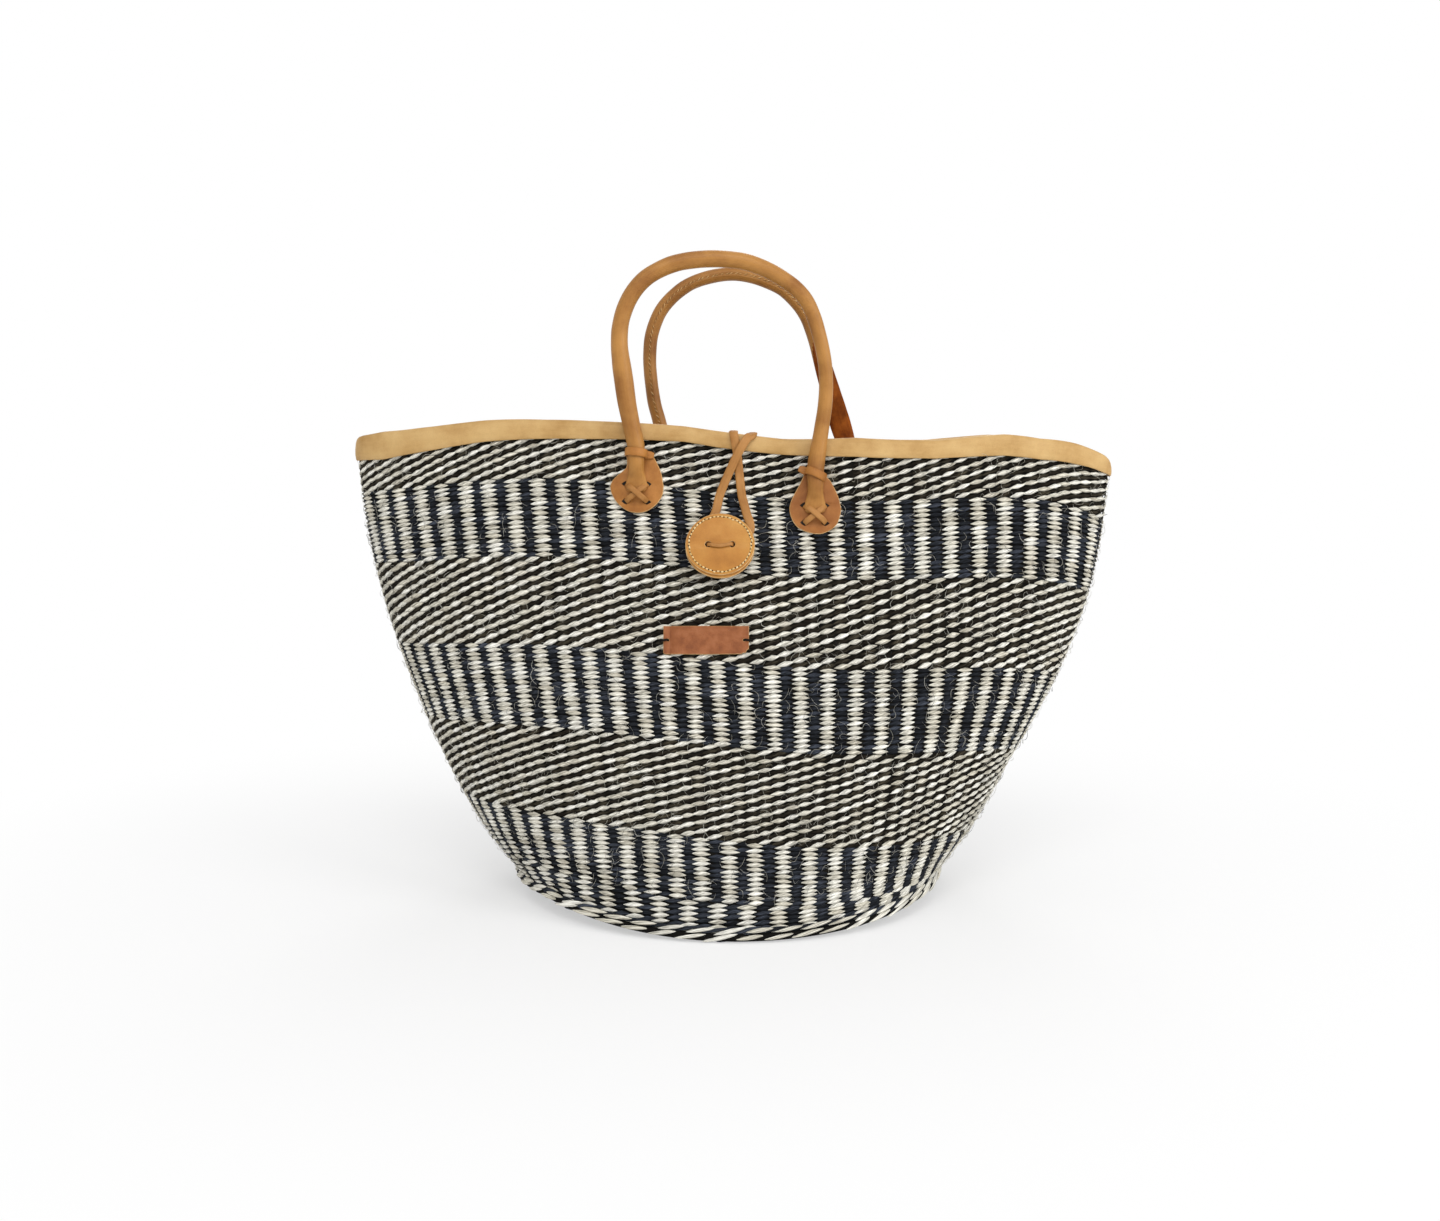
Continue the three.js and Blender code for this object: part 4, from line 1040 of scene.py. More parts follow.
def binding():
    """The folded strip, as one closed tube whose section follows the rim."""
    angles = np.linspace(-math.pi, math.pi, BINDING_STATIONS, endpoint=False)
    edge_sway = uneven_ring(BINDING_STATIONS, 26, 3)
    swell = uneven_ring(BINDING_STATIONS, 34, 4)
    spot = RIM_HALF_WIDTH * np.cos(angles)
    top_lift = np.interp(spot, RIM_SPOTS, TOP_LIFT) + SWELL_UP * swell
    edge_lift = np.interp(spot, RIM_SPOTS, EDGE_LIFT) + SWAY_UP * edge_sway
    rings = []
    for k, angle in enumerate(angles):
        height = rim_height(angle)
        lapped = LAP if LAP_ANGLES[0] < angle < LAP_ANGLES[1] else 0.0
        end = max(0.0, 1 - abs(math.sin(angle)) * END_NARROWNESS)
        for out, up in BINDING_SECTION:
            low = (-1 - up) / BINDING_DEPTH
            up += top_lift[k] * (1 - low) + edge_lift[k] * low
            away = SWELL_OUT * swell[k] * (1 - low) + SWAY_OUT * edge_sway[k] * low + lapped
            out = out + away if out > OUTER_FACE else out - away if out < INNER_FACE else out
            out -= END_SLOPE * end * (1 - low) ** 2
            point = wall_point(angle, min(1.0, 1 + up / (height - WALL_FOOT)), out)
            point[2] = height + up
            rings.append(point)
    sides = len(BINDING_SECTION)
    along = np.array(rings[OUTER_POINT::sides])
    uv = grid_uv(range(sides + 1), distances([*along, along[0]]))
    faces = grid_faces(BINDING_STATIONS, sides, close_rows=True)
    return mesh_object("rim_strip", rings, faces, rim_leather, uv)


finish_piece(binding(), "basket", "rim_leather", "rim_binding")
print("rim strip", BINDING_STATIONS, "stations")

# %% [markdown]
# Each handle is a strip of leather rolled round a rope. Its ends are flattened and laced to
# the wall over teardrop patches, whose upper ends are wrapped round the handle as a collar.
# A foot is listed as its x and height, the side of the collar's ear and the collar's slant in
# degrees. The lines of the two arches are listed from left to right: x, height and half
# thickness, and a second half thickness where the leather is not round.

# %% Places of the handles
HANDLE_RADIUS = 5.75
HANDLE_PLANE = 57.95
PATCH_RADIUS = 17.5
PATCH_THICKNESS = 2
KEEPER_RISE = 22
HUG = 0.45
LACE_HALF_SPAN = 6.8
LACE_HALF_RISE = 5.6
LACE_DROP = 3.4
LACE_HOLES = [(x, y - LACE_DROP) for x in (-LACE_HALF_SPAN, LACE_HALF_SPAN)
              for y in (-LACE_HALF_RISE, LACE_HALF_RISE)]
HANDLES = {
    "front": {"side": -1, "feet": {"left": (-63.4, 300, 1, -6), "right": (53, 286, -1, -24)},
              "line": ((-67.3, 322, 5.8), (-69.6, 334, 6.1), (-71.5, 348, 6.3), (-73.3, 361, 6.0),
                       (-74.2, 371, 5.6), (-73.5, 383, 5.4), (-70.5, 394, 5.4), (-65, 404.5, 5.4),
                       (-57.4, 412.9, 5.4), (-47.4, 419, 5.4), (-36.7, 423, 5.5), (-21, 425.3, 5.5),
                       (-5.7, 425.3, 5.4), (8.5, 423.3, 5.4), (22.4, 418, 5.3), (32, 412.5, 5.2),
                       (40.5, 406.2, 5.0), (46.8, 398.8, 4.9), (51.3, 389.5, 4.8),
                       (55.6, 375.5, 4.7), (59, 359, 4.6), (59.9, 345, 4.6),
                       (59.2, 331, 4.7), (57.2, 317, 4.9))},
    "rear": {"side": 1, "feet": {"left": (-48, 297, -1, 8), "right": (84, 295, 1, 14)},
             "line": ((-52.8, 323, 4.9), (-56, 335, 4.8), (-58, 348, 4.7), (-59.3, 362, 4.7),
                      (-59.3, 372, 4.8), (-58.2, 383, 4.8), (-54.8, 394, 4.8), (-50.4, 402.6, 4.8),
                      (-42, 412, 4.8), (-31, 419.9, 4.8), (-17, 425, 4.8), (0, 427.3, 4.8),
                      (13, 425.6, 4.8), (25, 421.7, 4.8), (36, 416.2, 4.8), (46.4, 406.3, 4.8),
                      (52.4, 397.7, 4.8), (58, 384, 4.9), (65.4, 361, 6.2, 3.2),
                      (72, 339, 7.2, 2.6), (79, 316.6, 7.4, 2.8))},
}


def wall_frame(x, z, side):
    """A frame on the wall's outer face."""
    angle, rise = wall_spot(x, z, side)
    step = 0.001
    along = wall_point(angle + step, rise) - wall_point(angle - step, rise)
    upward = wall_point(angle, rise + step) - wall_point(angle, rise - step)
    out = unit(np.cross(along, upward))
    level = unit(np.cross((0, 0, 1), out))
    return np.array([wall_point(angle, rise), level, np.cross(out, level), out])


def wall_relief(seat, x, y):
    """How far the wall's face stands out of a seat's flat plane at a spot."""
    near = from_frame(seat["frame"], (x, y, 0))
    spot = wall_point(*wall_spot(near[0], near[2], seat["side"]))
    return float((spot - seat["frame"][0]) @ seat["frame"][3])


seats = {}
for name, spec in HANDLES.items():
    for hand, (x, z, ear, slant) in spec["feet"].items():
        seat = {"frame": wall_frame(x, z - KEEPER_RISE, spec["side"]), "side": spec["side"],
                "hand": hand, "ear": ear, "slant": math.radians(slant)}
        seat["top"] = wall_relief(seat, 0, KEEPER_RISE / 2) + HUG + PATCH_THICKNESS
        seats[f"{name}_{hand}"] = seat
print("seats at x", [round(float(seat["frame"][0][0]), 1) for seat in seats.values()])

# %% [markdown]
# A patch is a flat teardrop of 2 mm leather with a soft upper edge and a pale cut side. It is
# drawn as a flat outline with four lace holes, made thick and rounded, and then laid on the
# curve of the wall. The sides get the colour of a fresh cut.

# %% Flat leather shapes
HOLE_STEPS = 20
WELD = 1e-4
CUT_SLOPE = 0.85
PATCH_CURL = 0.9
TEARDROPS = {
    "left": ((17.6, 0.7), (16.9, -4.6), (12.9, -11.0), (5.4, -15.8), (-4.4, -15.8), (-11.9, -10.9),
             (-16.2, -4.5), (-17.4, 0.7), (-16.2, 4.4), (-13.4, 7.6), (-9.4, 10.8), (-6.9, 13.5),
             (-6.6, 18), (-6.4, 23.6), (7.6, 23.8), (10.8, 20.3), (13.4, 15.7), (16.0, 9.5)),
    "right": ((17.4, 0), (16.5, -4.8), (13.3, -11.3), (4.3, -16.2), (-4.7, -15.2), (-12.1, -11.3),
              (-15.9, -4.5), (-16.6, 1), (-15, 6.7), (-10.1, 15.7), (-7.4, 21.5), (-6.2, 25.5),
              (5.5, 22.5), (9.8, 19.3), (11.6, 16.5), (15.7, 7.5)),
}


def inset(outline, distance):
    """An outline drawn in by a distance, to make room for the rounding of its edge."""
    outline = np.asarray(outline, float)
    along = np.roll(outline, -1, 0) - np.roll(outline, 1, 0)
    inward = unit(np.stack([-along[:, 1], along[:, 0]], 1))
    area = np.cross(outline, np.roll(outline, -1, 0)).sum()
    return outline + inward * distance * (1 if area > 0 else -1)


def flat_leather(name, outline, holes, thickness, on, lift, material, round_off=0.6, creases=()):
    """Leather cut to an outline with round holes (x, y, radius), and laid on a frame.

    lift gives the height of its underside at x and y. Extra edges run along each crease, an x,
    so that it can be bent there."""
    curve = bpy.data.curves.new(name, "CURVE")
    curve.dimensions = "2D"
    curve.fill_mode = "BOTH"
    curve.bevel_depth = round_off
    curve.bevel_resolution = 2
    curve.extrude = thickness / 2 - round_off
    rings = [inset(outline, round_off)]
    for x, y, r in holes:
        rings.append(ring(turns(HOLE_STEPS), r + round_off, r + round_off)[:, :2] + (x, y))
    for points in rings:
        spline = curve.splines.new("POLY")
        spline.points.add(len(points) - 1)
        spline.points.foreach_set("co", [value for x, y in points for value in (x, y, 0, 1)])
        spline.use_cyclic_u = True
    holder = bpy.data.objects.new(name, curve)
    mesh = bpy.data.meshes.new_from_object(holder)
    bpy.data.objects.remove(holder)
    shape = bmesh.new()
    shape.from_mesh(mesh)
    bmesh.ops.remove_doubles(shape, verts=shape.verts, dist=WELD)
    bmesh.ops.recalc_face_normals(shape, faces=shape.faces)
    for x in creases:
        everything = shape.verts[:] + shape.edges[:] + shape.faces[:]
        bmesh.ops.bisect_plane(shape, geom=everything, plane_co=(x, 0, 0), plane_no=(1, 0, 0))
    points = np.array([vertex.co for vertex in shape.verts]) + (0, 0, thickness / 2)
    faces = [tuple(vertex.index for vertex in face.verts) for face in shape.faces]
    cut = [int(abs(face.normal.z) < CUT_SLOPE) for face in shape.faces]
    shape.free()
    points[:, 2] += [lift(x, y) for x, y, _ in points]
    piece = mesh_object(name, from_frame(on, points), faces, material)
    piece.data.materials.append(edge_leather)
    piece.data.polygons.foreach_set("material_index", cut)
    return piece


def patch(name, seat):
    """A teardrop cut by hand. Its neck leans to the side where the collar is tucked in."""
    corners = [(-seat["side"] * x, y, 0) for x, y in TEARDROPS[seat["hand"]]]

    def lift(x, y):
        curl = PATCH_CURL * max(0.0, math.hypot(x, y) / PATCH_RADIUS - 0.8)
        return wall_relief(seat, x, y) + HUG + curl

    # Right-hand patches take the darker copy, as painted shade.
    return flat_leather(name, smooth_path(corners, 80, closed=True)[:, :2],
                        [(x, y, 1.5) for x, y in LACE_HOLES], PATCH_THICKNESS, seat["frame"], lift,
                        painted_shade_patch_leather if seat["hand"] == "right" else patch_leather)


for name, seat in seats.items():
    finish_piece(patch(f"{name}_teardrop", seat), "basket", "patch_leather", f"{name}_patch")
print("four patches")

# %% [markdown]
# The collar is the upper end of the patch, wrapped once round the handle. On one side it ends
# in a small ear where the strip is tucked under itself.

# %% Collars
COLLAR_WIDTH = 5.4
COLLAR_THICKNESS = 1.5
COLLAR_TURN = (222, -28)
EAR = ((9.0, 1.9, 5.0), (11.4, 1.5, 3.6))


def collar(name, seat):
    """A strip round the handle and out to the tip of its ear: place, way out and width."""
    centre = np.array((0, KEEPER_RISE, seat["top"] + HANDLE_RADIUS + 0.2))
    sideways = np.array((math.cos(seat["slant"]), math.sin(seat["slant"]), 0)) * seat["ear"]
    out = np.array((0, 0, 1))
    radius = HANDLE_RADIUS + 0.25 + COLLAR_THICKNESS / 2
    stops = []
    for turn in np.radians(np.linspace(*COLLAR_TURN, 18)):
        way = sideways * math.cos(turn) + out * math.sin(turn)
        stops.append([*(centre + way * radius), *way, COLLAR_WIDTH])
    tuck = centre[2] - seat["top"]
    for away, lift, width in EAR:
        place = centre + sideways * away - out * (tuck - lift)
        stops.append([*place, *(sideways * 0.3 + out * 0.95), width])
    row = smooth_path(stops, 60)
    sections = np.array([strip_section(width, COLLAR_THICKNESS) for width in row[:, 6]])
    return sweep(name, row, row[:, 3:6], sections, patch_leather, on=seat["frame"])


for name, seat in seats.items():
    finish_piece(collar(f"{name}_collar", seat), "basket", "patch_leather")
print("four collars")

# %% [markdown]
# The handle is one strip from end to end: flat under the lace, round through the collar and
# over the arch. Its long seam lies on the side that faces the other handle. The leather edges
# pucker up beside the seam, and tan stitches close it. On the rear handle's right leg the
# strip has opened, and shows its dark flesh side. A tail is listed from its tip: how far up,
# half width and half height.

# %% Handles
HANDLE_SIDES = 32
HANDLE_STATIONS = 300
TAIL = ((-2.6, 5.2, 1.0), (-1.6, 6.3, 1.3), (2.0, 6.9, 1.5), (6.5, 6.0, 2.4), (10.5, 5.1, 4.0),
        (15.0, 5.2, 5.3), (20.0, 5.5, 5.6), (25.0, 5.7, 5.75))
SEAM_GROOVE = -0.75
SEAM_LIP = 0.38
LUMPS = 0.012
LUMP_STATIONS = 13
LUMP_TURN = 0.05
OPENED_HEIGHTS = (307, 385)
OPENING = 24
OPENING_POWER = 0.7


def tail_stops(seat):
    """Stops from a flat tip up to its collar: place, way out, half width and half height."""
    frame = seat["frame"]
    return [[*from_frame(frame, (0, up, seat["top"] + 0.2 + high)), *frame[3], wide, high]
            for up, wide, high in TAIL]


def handle_row(name, spec):
    """The whole handle, from its left tail to its right one, as an even row of stations."""
    side = spec["side"]
    stops = [[x, side * HANDLE_PLANE, z, 0, side, 0, half[0], half[-1]]
             for x, z, *half in spec["line"]]
    stops = tail_stops(seats[f"{name}_left"]) + stops + tail_stops(seats[f"{name}_right"])[::-1]
    return smooth_path(stops, HANDLE_STATIONS)


def handle_sections(row, seed):
    """Rounded sections with the seam's groove and puckered lips on the inner side."""
    turn = turns(HANDLE_SIDES)
    from_seam = np.abs(np.arange(HANDLE_SIDES) - HANDLE_SIDES * 3 // 4)
    chance = np.random.default_rng(seed)
    steps = chance.normal(0, 1, len(row) + LUMP_STATIONS - 1)
    uneven = np.convolve(steps, np.hanning(LUMP_STATIONS) / 3, "valid")[:, None]
    lump = 1 + LUMPS * uneven * np.cos(2 * turn + np.arange(len(row))[:, None] * LUMP_TURN)
    wide, high = row[:, 6:7], row[:, 7:8]
    lips = np.where(from_seam == 0, SEAM_GROOVE, np.where(from_seam == 1, SEAM_LIP, 0.0))
    lips = lips * np.minimum(1.0, high / wide)
    return np.stack([np.cos(turn) * (wide + lips) * lump, np.sin(turn) * (high + lips) * lump], -1)


def shows_flesh(row, spec):
    """True for the faces where the strip has opened, in a point that widens downwards."""
    low, high = OPENED_HEIGHTS
    height = row[:-1, 2]
    past = np.arange(len(height)) > len(row) / 2
    opened = past & (height > low) & (height < high) & (spec["side"] > 0)
    from_seam = np.abs(np.arange(HANDLE_SIDES) + 0.5 - HANDLE_SIDES * 3 / 4)
    wide = np.clip((high - height) / OPENING, 0, 1) ** OPENING_POWER * HANDLE_SIDES / 4
    return opened[:, None] & (from_seam < wide[:, None])


for name, spec in HANDLES.items():
    row = spec["row"] = handle_row(name, spec)
    # The rear handle takes the darker copy of the leather, as painted shade.
    hide = handle_leather if name == "front" else rear_shade_leather
    piece = sweep(f"{name}_handle", row, row[:, 3:6], handle_sections(row, spec["side"] + 20), hide)
    piece.data.materials.append(flesh_leather)
    kinds = [*shows_flesh(row, spec).ravel().astype(int), 0, 0]
    piece.data.polygons.foreach_set("material_index", kinds)
    spec["piece"] = piece
print("handles of", HANDLE_STATIONS, "stations")

# %% The seams of the handles
SEAM_PITCH = 3.4
SEAM_CLEAR = 14
SEAM_LEAN = math.radians(28)
ROUND_ENOUGH = 4.3
SEAM_YARN = (0.62, 0.8, 0.8, 0.05, 0.12)


def seam_stitches(row):
    """One slanted stitch after another over the groove, clear of the flat ends."""
    step = np.linalg.norm(np.diff(row[:, :3], axis=0), axis=1).mean()
    clear = SEAM_CLEAR / step
    at = np.arange(clear, len(row) - 1 - clear, SEAM_PITCH / step).astype(int)
    at = at[row[at, 7] > ROUND_ENOUGH]
    inward = -unit(row[at, 3:6])
    return stitches(point=row[at, :3] + inward * (row[at, 7:8] + 0.1), out=inward,
                    way=unit(np.gradient(row[:, :3], axis=0))[at], pitch=SEAM_PITCH * 1.5,
                    height=1.0, lean=SEAM_LEAN)


for name, spec in HANDLES.items():
    spec["seam"] = twine(f"{name}_handle_seam", seam_stitches(spec["row"]), SEAM_YARN, tan_thread,
                         seed=12)
    print(name, "seam", len(spec["seam"].data.polygons), "faces")

# %% [markdown]
# A handle bends where its flat end leaves the collar. Here only the span round each hinge is
# worked out, 44 mm from start to end and square to the hinge line, which is not quite level on
# the front handle. The leather is not bent: each handle and its seam only have their place baked
# in.

# %% The span round the handles' hinges
BEND_BELOW = 0.020
BEND_ABOVE = 0.024
for name, spec in HANDLES.items():
    joint = next(joint for joint in frame["joints"] if joint["name"] == f"{name}_handle_swing")
    pivot, axis = np.array(joint["pos_m"]), unit(joint["axis"])
    climb = np.cross(axis, (0, 1, 0))
    climb = climb if climb[2] > 0 else -climb
    start, end = pivot - climb * BEND_BELOW, pivot + climb * BEND_ABOVE
    for piece in (spec["piece"], spec["seam"]):
        tuple(start)
        tuple(end)
        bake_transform(piece)
    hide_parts(f"{name}_handle_cover", f"{name}_handle_core",
                f"{name}_left_handle_end", f"{name}_right_handle_end")
    print(name, "bends from z", round(float(start[2]), 3), "to", round(float(end[2]), 3))

# %% [markdown]
# A crossed lace holds each flat end: down one hole, over the leather and down the opposite
# hole. The strand that runs down to the right lies on top. Two bars join the holes inside.

# %% Crossed laces
LACE_WIDTH = 3.7
LACE_THICKNESS = 1.5
CROWNS = {1: 5.2, -1: 3.7}
BAR_REACH = 6.4
INSIDE = -WALL_THICKNESS - 1.2
HOLE_SHADE_YARN = (5.2, 4.0, 0.5, 0.0, 0.1)


def cross_strand(seat, sign):
    """One strand of the cross, from hole to hole. sign is 1 for the one that lies on top."""
    crown = CROWNS[sign]
    half = ((0, crown + 0.15), (0.35, crown), (0.7, crown * 0.72), (0.93, 0.9), (1.03, -1.0),
            (1.06, -3.5))
    arch = [(-t, lift) for t, lift in half[:0:-1]] + list(half)
    row = smooth_path([
        (t * LACE_HALF_SPAN, -sign * t * LACE_HALF_RISE - LACE_DROP, seat["top"] + lift)
        for t, lift in arch], 40)
    sideways = unit(np.cross((0, 0, 1), (LACE_HALF_SPAN, -sign * LACE_HALF_RISE, 0)))
    facing = unit(np.cross(np.gradient(row, axis=0), sideways))
    width = LACE_WIDTH * (1 - 0.12 * np.abs(np.linspace(-1, 1, 40)) ** 3)
    sections = np.array([strip_section(w, LACE_THICKNESS) for w in width])
    return sweep("strand", row, facing, sections, lace_leather, on=seat["frame"])


def lace_bar(seat, x):
    """The straight run of the lace inside the wall, between two holes."""
    row = smooth_path([(x, -LACE_DROP + y, INSIDE) for y in (-BAR_REACH, 0, BAR_REACH)], 8)
    return sweep("bar", row, (0, 0, -1), strip_section(LACE_WIDTH, LACE_THICKNESS), lace_leather,
                 on=seat["frame"])


def join(name, pieces):
    """One object from several, for strands that are one lace."""
    shape = bmesh.new()
    for piece in pieces:
        shape.from_mesh(piece.data)
    mesh = bpy.data.meshes.new(name)
    shape.to_mesh(mesh)
    shape.free()
    mesh.materials.append(pieces[0].data.materials[0])
    for piece in pieces:
        bpy.data.objects.remove(piece)
    return add_object(name, mesh)


for name, seat in seats.items():
    bars = [lace_bar(seat, x) for x in (-LACE_HALF_SPAN, LACE_HALF_SPAN)]
    lace = join(f"{name}_cross", [cross_strand(seat, -1), cross_strand(seat, 1), *bars])
    finish_piece(lace, "basket", "lace_leather", f"{name}_lace")
    spots = [(x, y, wall_relief(seat, x, y) + HUG + PATCH_THICKNESS) for x, y in LACE_HOLES]
    holes = stitches(point=from_frame(seat["frame"], spots), way=seat["frame"][1],
                     out=seat["frame"][3], pitch=1.0, height=1.0, lean=0.0)
    # Flat dark discs at the four holes: painted shade in the holes.
    hole_shade_discs = twine(f"{name}_lace_hole_shade", holes, HOLE_SHADE_YARN, dark_thread_and_hole_shade, seed=6)
    finish_piece(hole_shade_discs, "basket", "lace_leather")
print("four crossed laces")

# %% [markdown]
# The button is two discs of golden leather sewn together near the edge. It hangs on a short
# lace that shows between its two holes, and its lower edge stands away from the wall.

# %% Button
BUTTON_PLACE = (-9, 240)
BUTTON_RADIUS = 22.5
BUTTON_SQUASH = 0.92
BUTTON_LAYER = 2.2
BUTTON_GAP = 0.05
BUTTON_STAND_OFF = 8.4
BUTTON_LEAN = math.radians(8)
BUTTON_HALF_SPAN = 7.8
BUTTON_LACE_WIDTH = 3.0
BUTTON_STITCHES = 50
BUTTON_WAVER = 0.25
BUTTON_HOLE_RADIUS = 2.0
STITCH_INSET = 2.2
OUTLINE_STEPS = 72

button_wall = wall_frame(*BUTTON_PLACE, -1)
lean_up = button_wall[2] * math.cos(BUTTON_LEAN) - button_wall[3] * math.sin(BUTTON_LEAN)
button_frame = np.array([button_wall[0] + button_wall[3] * BUTTON_STAND_OFF,
                         button_wall[1], lean_up, np.cross(button_wall[1], lean_up)])


def button_disc(name, low, radius, shift, seed):
    """One layer of the button, hand cut, so not quite round."""
    rough = radius + BUTTON_WAVER * uneven_ring(OUTLINE_STEPS, 7, seed)
    outline = ring(turns(OUTLINE_STEPS), rough, rough * BUTTON_SQUASH)[:, :2] + (0, shift)
    holes = [(x, 0, BUTTON_HOLE_RADIUS) for x in (-BUTTON_HALF_SPAN, BUTTON_HALF_SPAN)]
    return flat_leather(name, outline, holes, BUTTON_LAYER, button_frame, lambda x, y: low,
                        button_leather)


def button_stitches(part):
    """Places in a ring near the edge. part is 0 for the stitches and 0.5 for the awl holes between,
    where dark discs stand for painted shade.
    """
    turn = turns(BUTTON_STITCHES, part)
    wide, tall = BUTTON_RADIUS - STITCH_INSET, BUTTON_RADIUS * BUTTON_SQUASH - STITCH_INSET
    way = unit(ring(turn + math.pi / 2, wide, tall)) @ button_frame[1:]
    place = ring(turn, wide, tall, BUTTON_LAYER + BUTTON_GAP)
    return stitches(point=from_frame(button_frame, place), way=way, out=button_frame[3],
                    pitch=1.0, height=1.0, lean=0.12)


back = button_disc("button_lower_disc", -BUTTON_LAYER - BUTTON_GAP, BUTTON_RADIUS, -1.3, 8)
face = button_disc("button_upper_disc", BUTTON_GAP, BUTTON_RADIUS - 0.1, 0.0, 9)
finish_piece(back, "button", "button_leather", "button_back")
finish_piece(face, "button", "button_leather", "button_face")
# The second lot lays dark discs in the awl holes between the stitches: painted shade.
for name, part, yarn, thread, seed in (
        ("button_seam", 0, (1.9, 1.2, 0.9, 0.0, 0.08), cream_thread, 3),
        ("button_awl_holes", 0.5, (1.0, 1.0, 0.3, 0.0, 0.1), dark_thread_and_hole_shade, 4)):
    finish_piece(twine(name, button_stitches(part), yarn, thread, seed), "button", "button_leather")
print("button with", BUTTON_STITCHES, "stitches")

# %% The lace through the button
top = BUTTON_STAND_OFF + BUTTON_LAYER
stops = ((-8.1, 0, -5.2), (-8.1, 0, 2.0), (-7.9, 0, top - 0.6), (-6.6, -0.1, top + 1.0),
         (-3.3, -0.7, top + 1.3), (0, -0.9, top + 1.35), (3.3, -0.4, top + 1.3),
         (6.6, 0.3, top + 1.0), (7.9, 0.2, top - 0.6), (8.1, 0, 2.0), (8.1, 0, -5.2),
         (6.0, 0, -6.4), (0, 0, -6.6), (-6.0, 0, -6.4))
row = smooth_path(stops, 90, closed=True)
facing = unit(np.cross(np.roll(row, -1, 0) - np.roll(row, 1, 0), (0, -1, 0)))
button_lace = sweep("button_hanger", row, facing, strip_section(2.3, 1.2), lace_leather,
                    on=button_wall, closed=True)
finish_piece(button_lace, "basket", "lace_leather", "button_lace")

# %% [markdown]
# One long lace closes the bag. It is fixed through the rear wall, runs double over the mouth,
# crosses itself on the front and loops round behind the button. It is drawn as two pieces that
# meet over the middle of the mouth: the rear one bends at the rear rim and the front one at
# the front rim. Its ways down and up the front are listed as x, height and lift off the wall.

# %% Closure lace
STRAND_WIDTH = 5.8
STRAND_THICKNESS = 1.9
STRAND_SPOTS = (0.0, 12.6)
STRAND_SAG = 4
BED_OVER = 2.4
BINDING_TOP = -1.0
BINDING_OUT = 1.9
ANCHOR_X = 6.3
ANCHOR_DROP = 15
BEND = RIM_HALF_DEPTH + BED_OVER
WAY_DOWN = ((9.2, 311.0, 3.4), (5.2, 305.0, 4.2), (1.9, 299.0, 3.2), (-1.8, 291.0, 2.6),
            (-5.2, 283.3, 1.4), (-9.1, 273.5, 0.8), (-12.9, 260.0, 0.6))
WAY_UP = ((10.8, 252.0, 0.6), (8.4, 261.5, 0.6), (5.4, 272.9, 0.6), (4.1, 283.0, 0.6),
          (3.1, 293.0, 0.6), (2.2, 301.0, 1.4), (1.3, 306.0, 2.4), (0.4, 311.0, 2.4))


def strand_bed(x):
    return max(rim_height(math.acos((x + d) / RIM_HALF_WIDTH)) for d in (-3, 0, 3)) + BINDING_TOP


def over_mouth(x, from_y, to_y):
    """Stops over the mouth from one y to another: place and way out."""
    inner = RIM_HALF_DEPTH - WALL_THICKNESS - BINDING_OUT
    top = strand_bed(x) + STRAND_THICKNESS / 2 + 0.1
    return [[x, y, top - max(0.0, 1 - (y / inner) ** 2) * STRAND_SAG, 0, 0, 1]
            for y in np.linspace(from_y, to_y, 7)]


def on_front(x, z, lift):
    """A stop on the front wall, lifted off it, with the wall's way out."""
    place = wall_point(*wall_spot(x, z, -1), lift + STRAND_THICKNESS / 2)
    return [place[0], place[1], z, *wall_frame(x, min(z, RIM_HEIGHT - 1), -1)[3]]


def front_lace():
    """From the middle of the mouth down the right strand, round the button and back up."""
    left, right = STRAND_SPOTS
    x, z = BUTTON_PLACE
    low = BUTTON_LACE_WIDTH / 2 + 0.8 + STRAND_WIDTH / 2
    half = BUTTON_HALF_SPAN + low
    bight = ((x - half, z + 9, 0.6), (x - half * 0.86, z - low * 0.75, 0.6),
             (x, z - low * 1.3, 0.6), (x + half * 0.86, z - low * 0.75, 0.6))
    return smooth_path([
        *over_mouth(right, 0, -BEND + 3),
        [right - 1.2, -BEND - 0.6, strand_bed(right) - 0.6, 0, -0.7, 0.7],
        *[on_front(*stop) for stop in WAY_DOWN + bight + WAY_UP],
        [left, -BEND - 0.6, strand_bed(left) - 0.6, 0, -0.7, 0.7],
        *over_mouth(left, -BEND + 3, 0)], 260)


def rear_lace():
    """From the middle of the mouth over the rear rim, through the wall and back up."""
    left, right = STRAND_SPOTS
    hole = rim_height(math.acos(ANCHOR_X / RIM_HALF_WIDTH)) - ANCHOR_DROP

    def down(x):
        face = wall_point(*wall_spot(x, hole, 1))[1]
        return over_mouth(x, 0, BEND - 3) + [
            [x, BEND + 0.6, strand_bed(x) - 0.6, 0, 0.7, 0.7],
            [x, BEND + 1.1, strand_bed(x) - 6, 0, 1, 0],
            [x, BEND + 2.0, hole + 4, 0, 1, 0.1],
            [x, face + 0.4, hole + 0.6, 0, 0.6, 0.8],
            [x, face - WALL_THICKNESS - 0.8, hole + 0.2, 0, 0.2, 1]]

    inner = wall_point(*wall_spot(ANCHOR_X, hole, 1))[1] - WALL_THICKNESS - 2.0
    middle = [[(left + right) / 2, inner - 0.6, hole, 0, -1, 0.3]]
    return smooth_path(down(right) + middle + down(left)[::-1], 200)


strand = strip_section(STRAND_WIDTH, STRAND_THICKNESS)
row = front_lace()
front_strand = sweep("closure_front", row, unit(row[:, 3:6]), strand, lace_leather)
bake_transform(front_strand)
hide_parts("closure_loop")
row = rear_lace()
rear_strand = sweep("closure_rear", row, unit(row[:, 3:6]), strand, lace_leather)
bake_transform(rear_strand)
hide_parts("closure_strand_left", "closure_strand_right", "closure_anchor")
print("closure lace, front and rear")

# %% [markdown]
# A plain brown tab is tied to the front with dark thread at both ends. Its lower right corner
# is torn off, and a crease runs down near its left end.

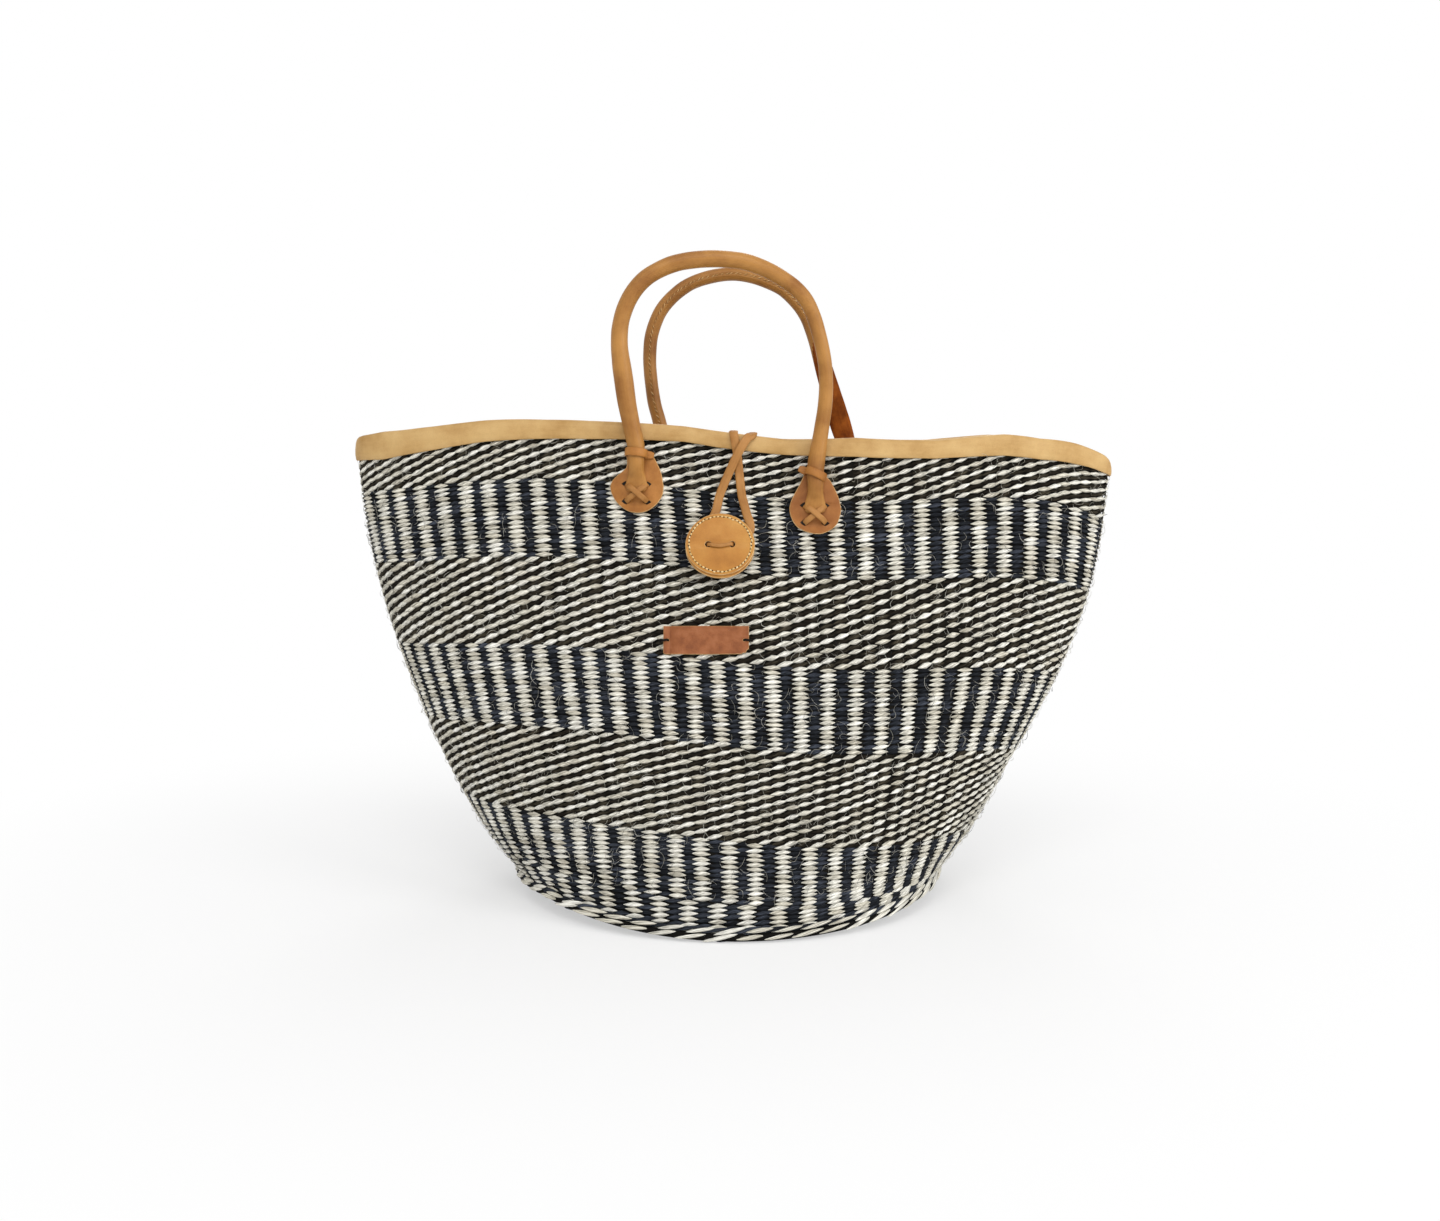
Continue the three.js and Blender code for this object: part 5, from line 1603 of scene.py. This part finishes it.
# %% Tab
TAB_PLACE = (-18, 180)
TAB_WIDTH = 56
TAB_HEIGHT = 19
TAB_THICKNESS = 1.6
TAB_INSET = 3
TAB_CREASE = -23.2
TAB_BENDS = (TAB_CREASE - 0.7, TAB_CREASE, TAB_CREASE + 0.7, -14, -5, 5, 14, 20)
TAB_DENT = -0.9
TAB_CURL = 0.0016
TIE_WIDTH = 4.8

tab_seat = {"frame": wall_frame(*TAB_PLACE, -1), "side": -1}


def tab_lift(x, y):
    """The tab follows the wall, is pressed in at its crease, and curls up to the right."""
    crease = TAB_DENT if abs(x - TAB_CREASE) < 0.3 else 0.0
    return wall_relief(tab_seat, x, y) + 0.5 + crease + TAB_CURL * max(0.0, x - 5) ** 2


def tab():
    right, top = TAB_WIDTH / 2 - 0.3, TAB_HEIGHT / 2 - 0.3
    outline = [(-right, -top + 1), (-right + 1, -top), (0, -top - 0.15), (right - 5, -top + 0.1),
               (right - 3.6, -top + 1.0), (right - 2.2, -top + 0.9), (right - 1.3, -top + 2.6),
               (right, -top + 3.6), (right + 0.1, 0), (right, top), (0, top + 0.1), (-right, top)]
    fine = []
    for (x0, y0), (x1, y1) in zip(outline, outline[1:] + outline[:1]):
        steps = max(1, int(math.hypot(x1 - x0, y1 - y0) / 2))
        fine += [(x0 + (x1 - x0) * k / steps, y0 + (y1 - y0) * k / steps) for k in range(steps)]
    holes = [(x, 0, 0.9) for x in (TAB_INSET - right, right - TAB_INSET)]
    return flat_leather("tab", fine, holes, TAB_THICKNESS, tab_seat["frame"], tab_lift,
                        label_leather, 0.35, TAB_BENDS)


finish_piece(tab(), "basket", "label_leather", "label")
for hand, sign in (("left", -1), ("right", 1)):
    x = sign * (TAB_WIDTH / 2 - TAB_INSET)
    out = sign * TIE_WIDTH
    low = wall_relief(tab_seat, x, 0)
    stops = ((x, 0, low - 4.5), (x, 0, low + 1.5), (x + out * 0.12, 0.1, low + 3.0),
             (x + out * 0.5, -0.2, low + 3.1), (x + out * 0.9, 0.2, low + 2.0),
             (x + out, 0, low - 0.5), (x + out, 0, low - 4.5), (x + out * 0.5, 0, low - 5.4))
    tie = sweep(f"tab_{hand}_tie", smooth_path(stops, 40, closed=True), (0, 1, 0),
                strip_section(1.5, 1.5, sides=8, square=2), dark_thread_and_hole_shade, on=tab_seat["frame"],
                closed=True)
    finish_piece(tie, "basket", "thread", f"label_{hand}_tie")
print("tab", TAB_WIDTH, "by", TAB_HEIGHT, "mm")

# %% [markdown]
# Sisal is never tidy. Fine ends of fibre stand out of the yarn all over the bag, and their
# haze softens the pattern. The same tree draws them as very thin bowed threads, scattered at
# random over the wall and turned every way.

# %% Loose fibres
FIBRE_LENGTH = 7.2
FIBRE_YARN = (1.0, 1.0, FIBRE_LENGTH, 0.1, 0.35)
FIBRE_SHAPE = {"Steps": 7, "Sides": 3, "Tip": 0.5, "Dip": 0.2, "Bow": 0.3, "Belly": 1.0,
               "Lean spread": 3.1, "Thick": 0.0145}


def loose_fibres(count, seed):
    chance = np.random.default_rng(seed)
    share, rise = chance.random(count), chance.random(count) * 0.9 + 0.06
    here = wall_point(angle_round(share, 0.5), rise)
    right = wall_point(angle_round(share + 0.001, 0.5), rise)
    above = wall_point(angle_round(share, 0.5), rise + 0.002)
    return stitches(point=here, way=unit(right - here),
                    out=unit(np.cross(right - here, above - here)),
                    pitch=FIBRE_LENGTH, height=FIBRE_LENGTH, lean=0.0)


for colour, dye, count, seed in (("natural", natural_sisal, 4600, 1),
                                 ("black", navy_sisal, 900, 2)):
    piece = twine(f"{colour}_loose_fibres", loose_fibres(count, seed), FIBRE_YARN, dye, seed,
                  shape=FIBRE_SHAPE)
    finish_piece(piece, "basket", "woven_sisal")
    print(count, colour, "loose fibres")
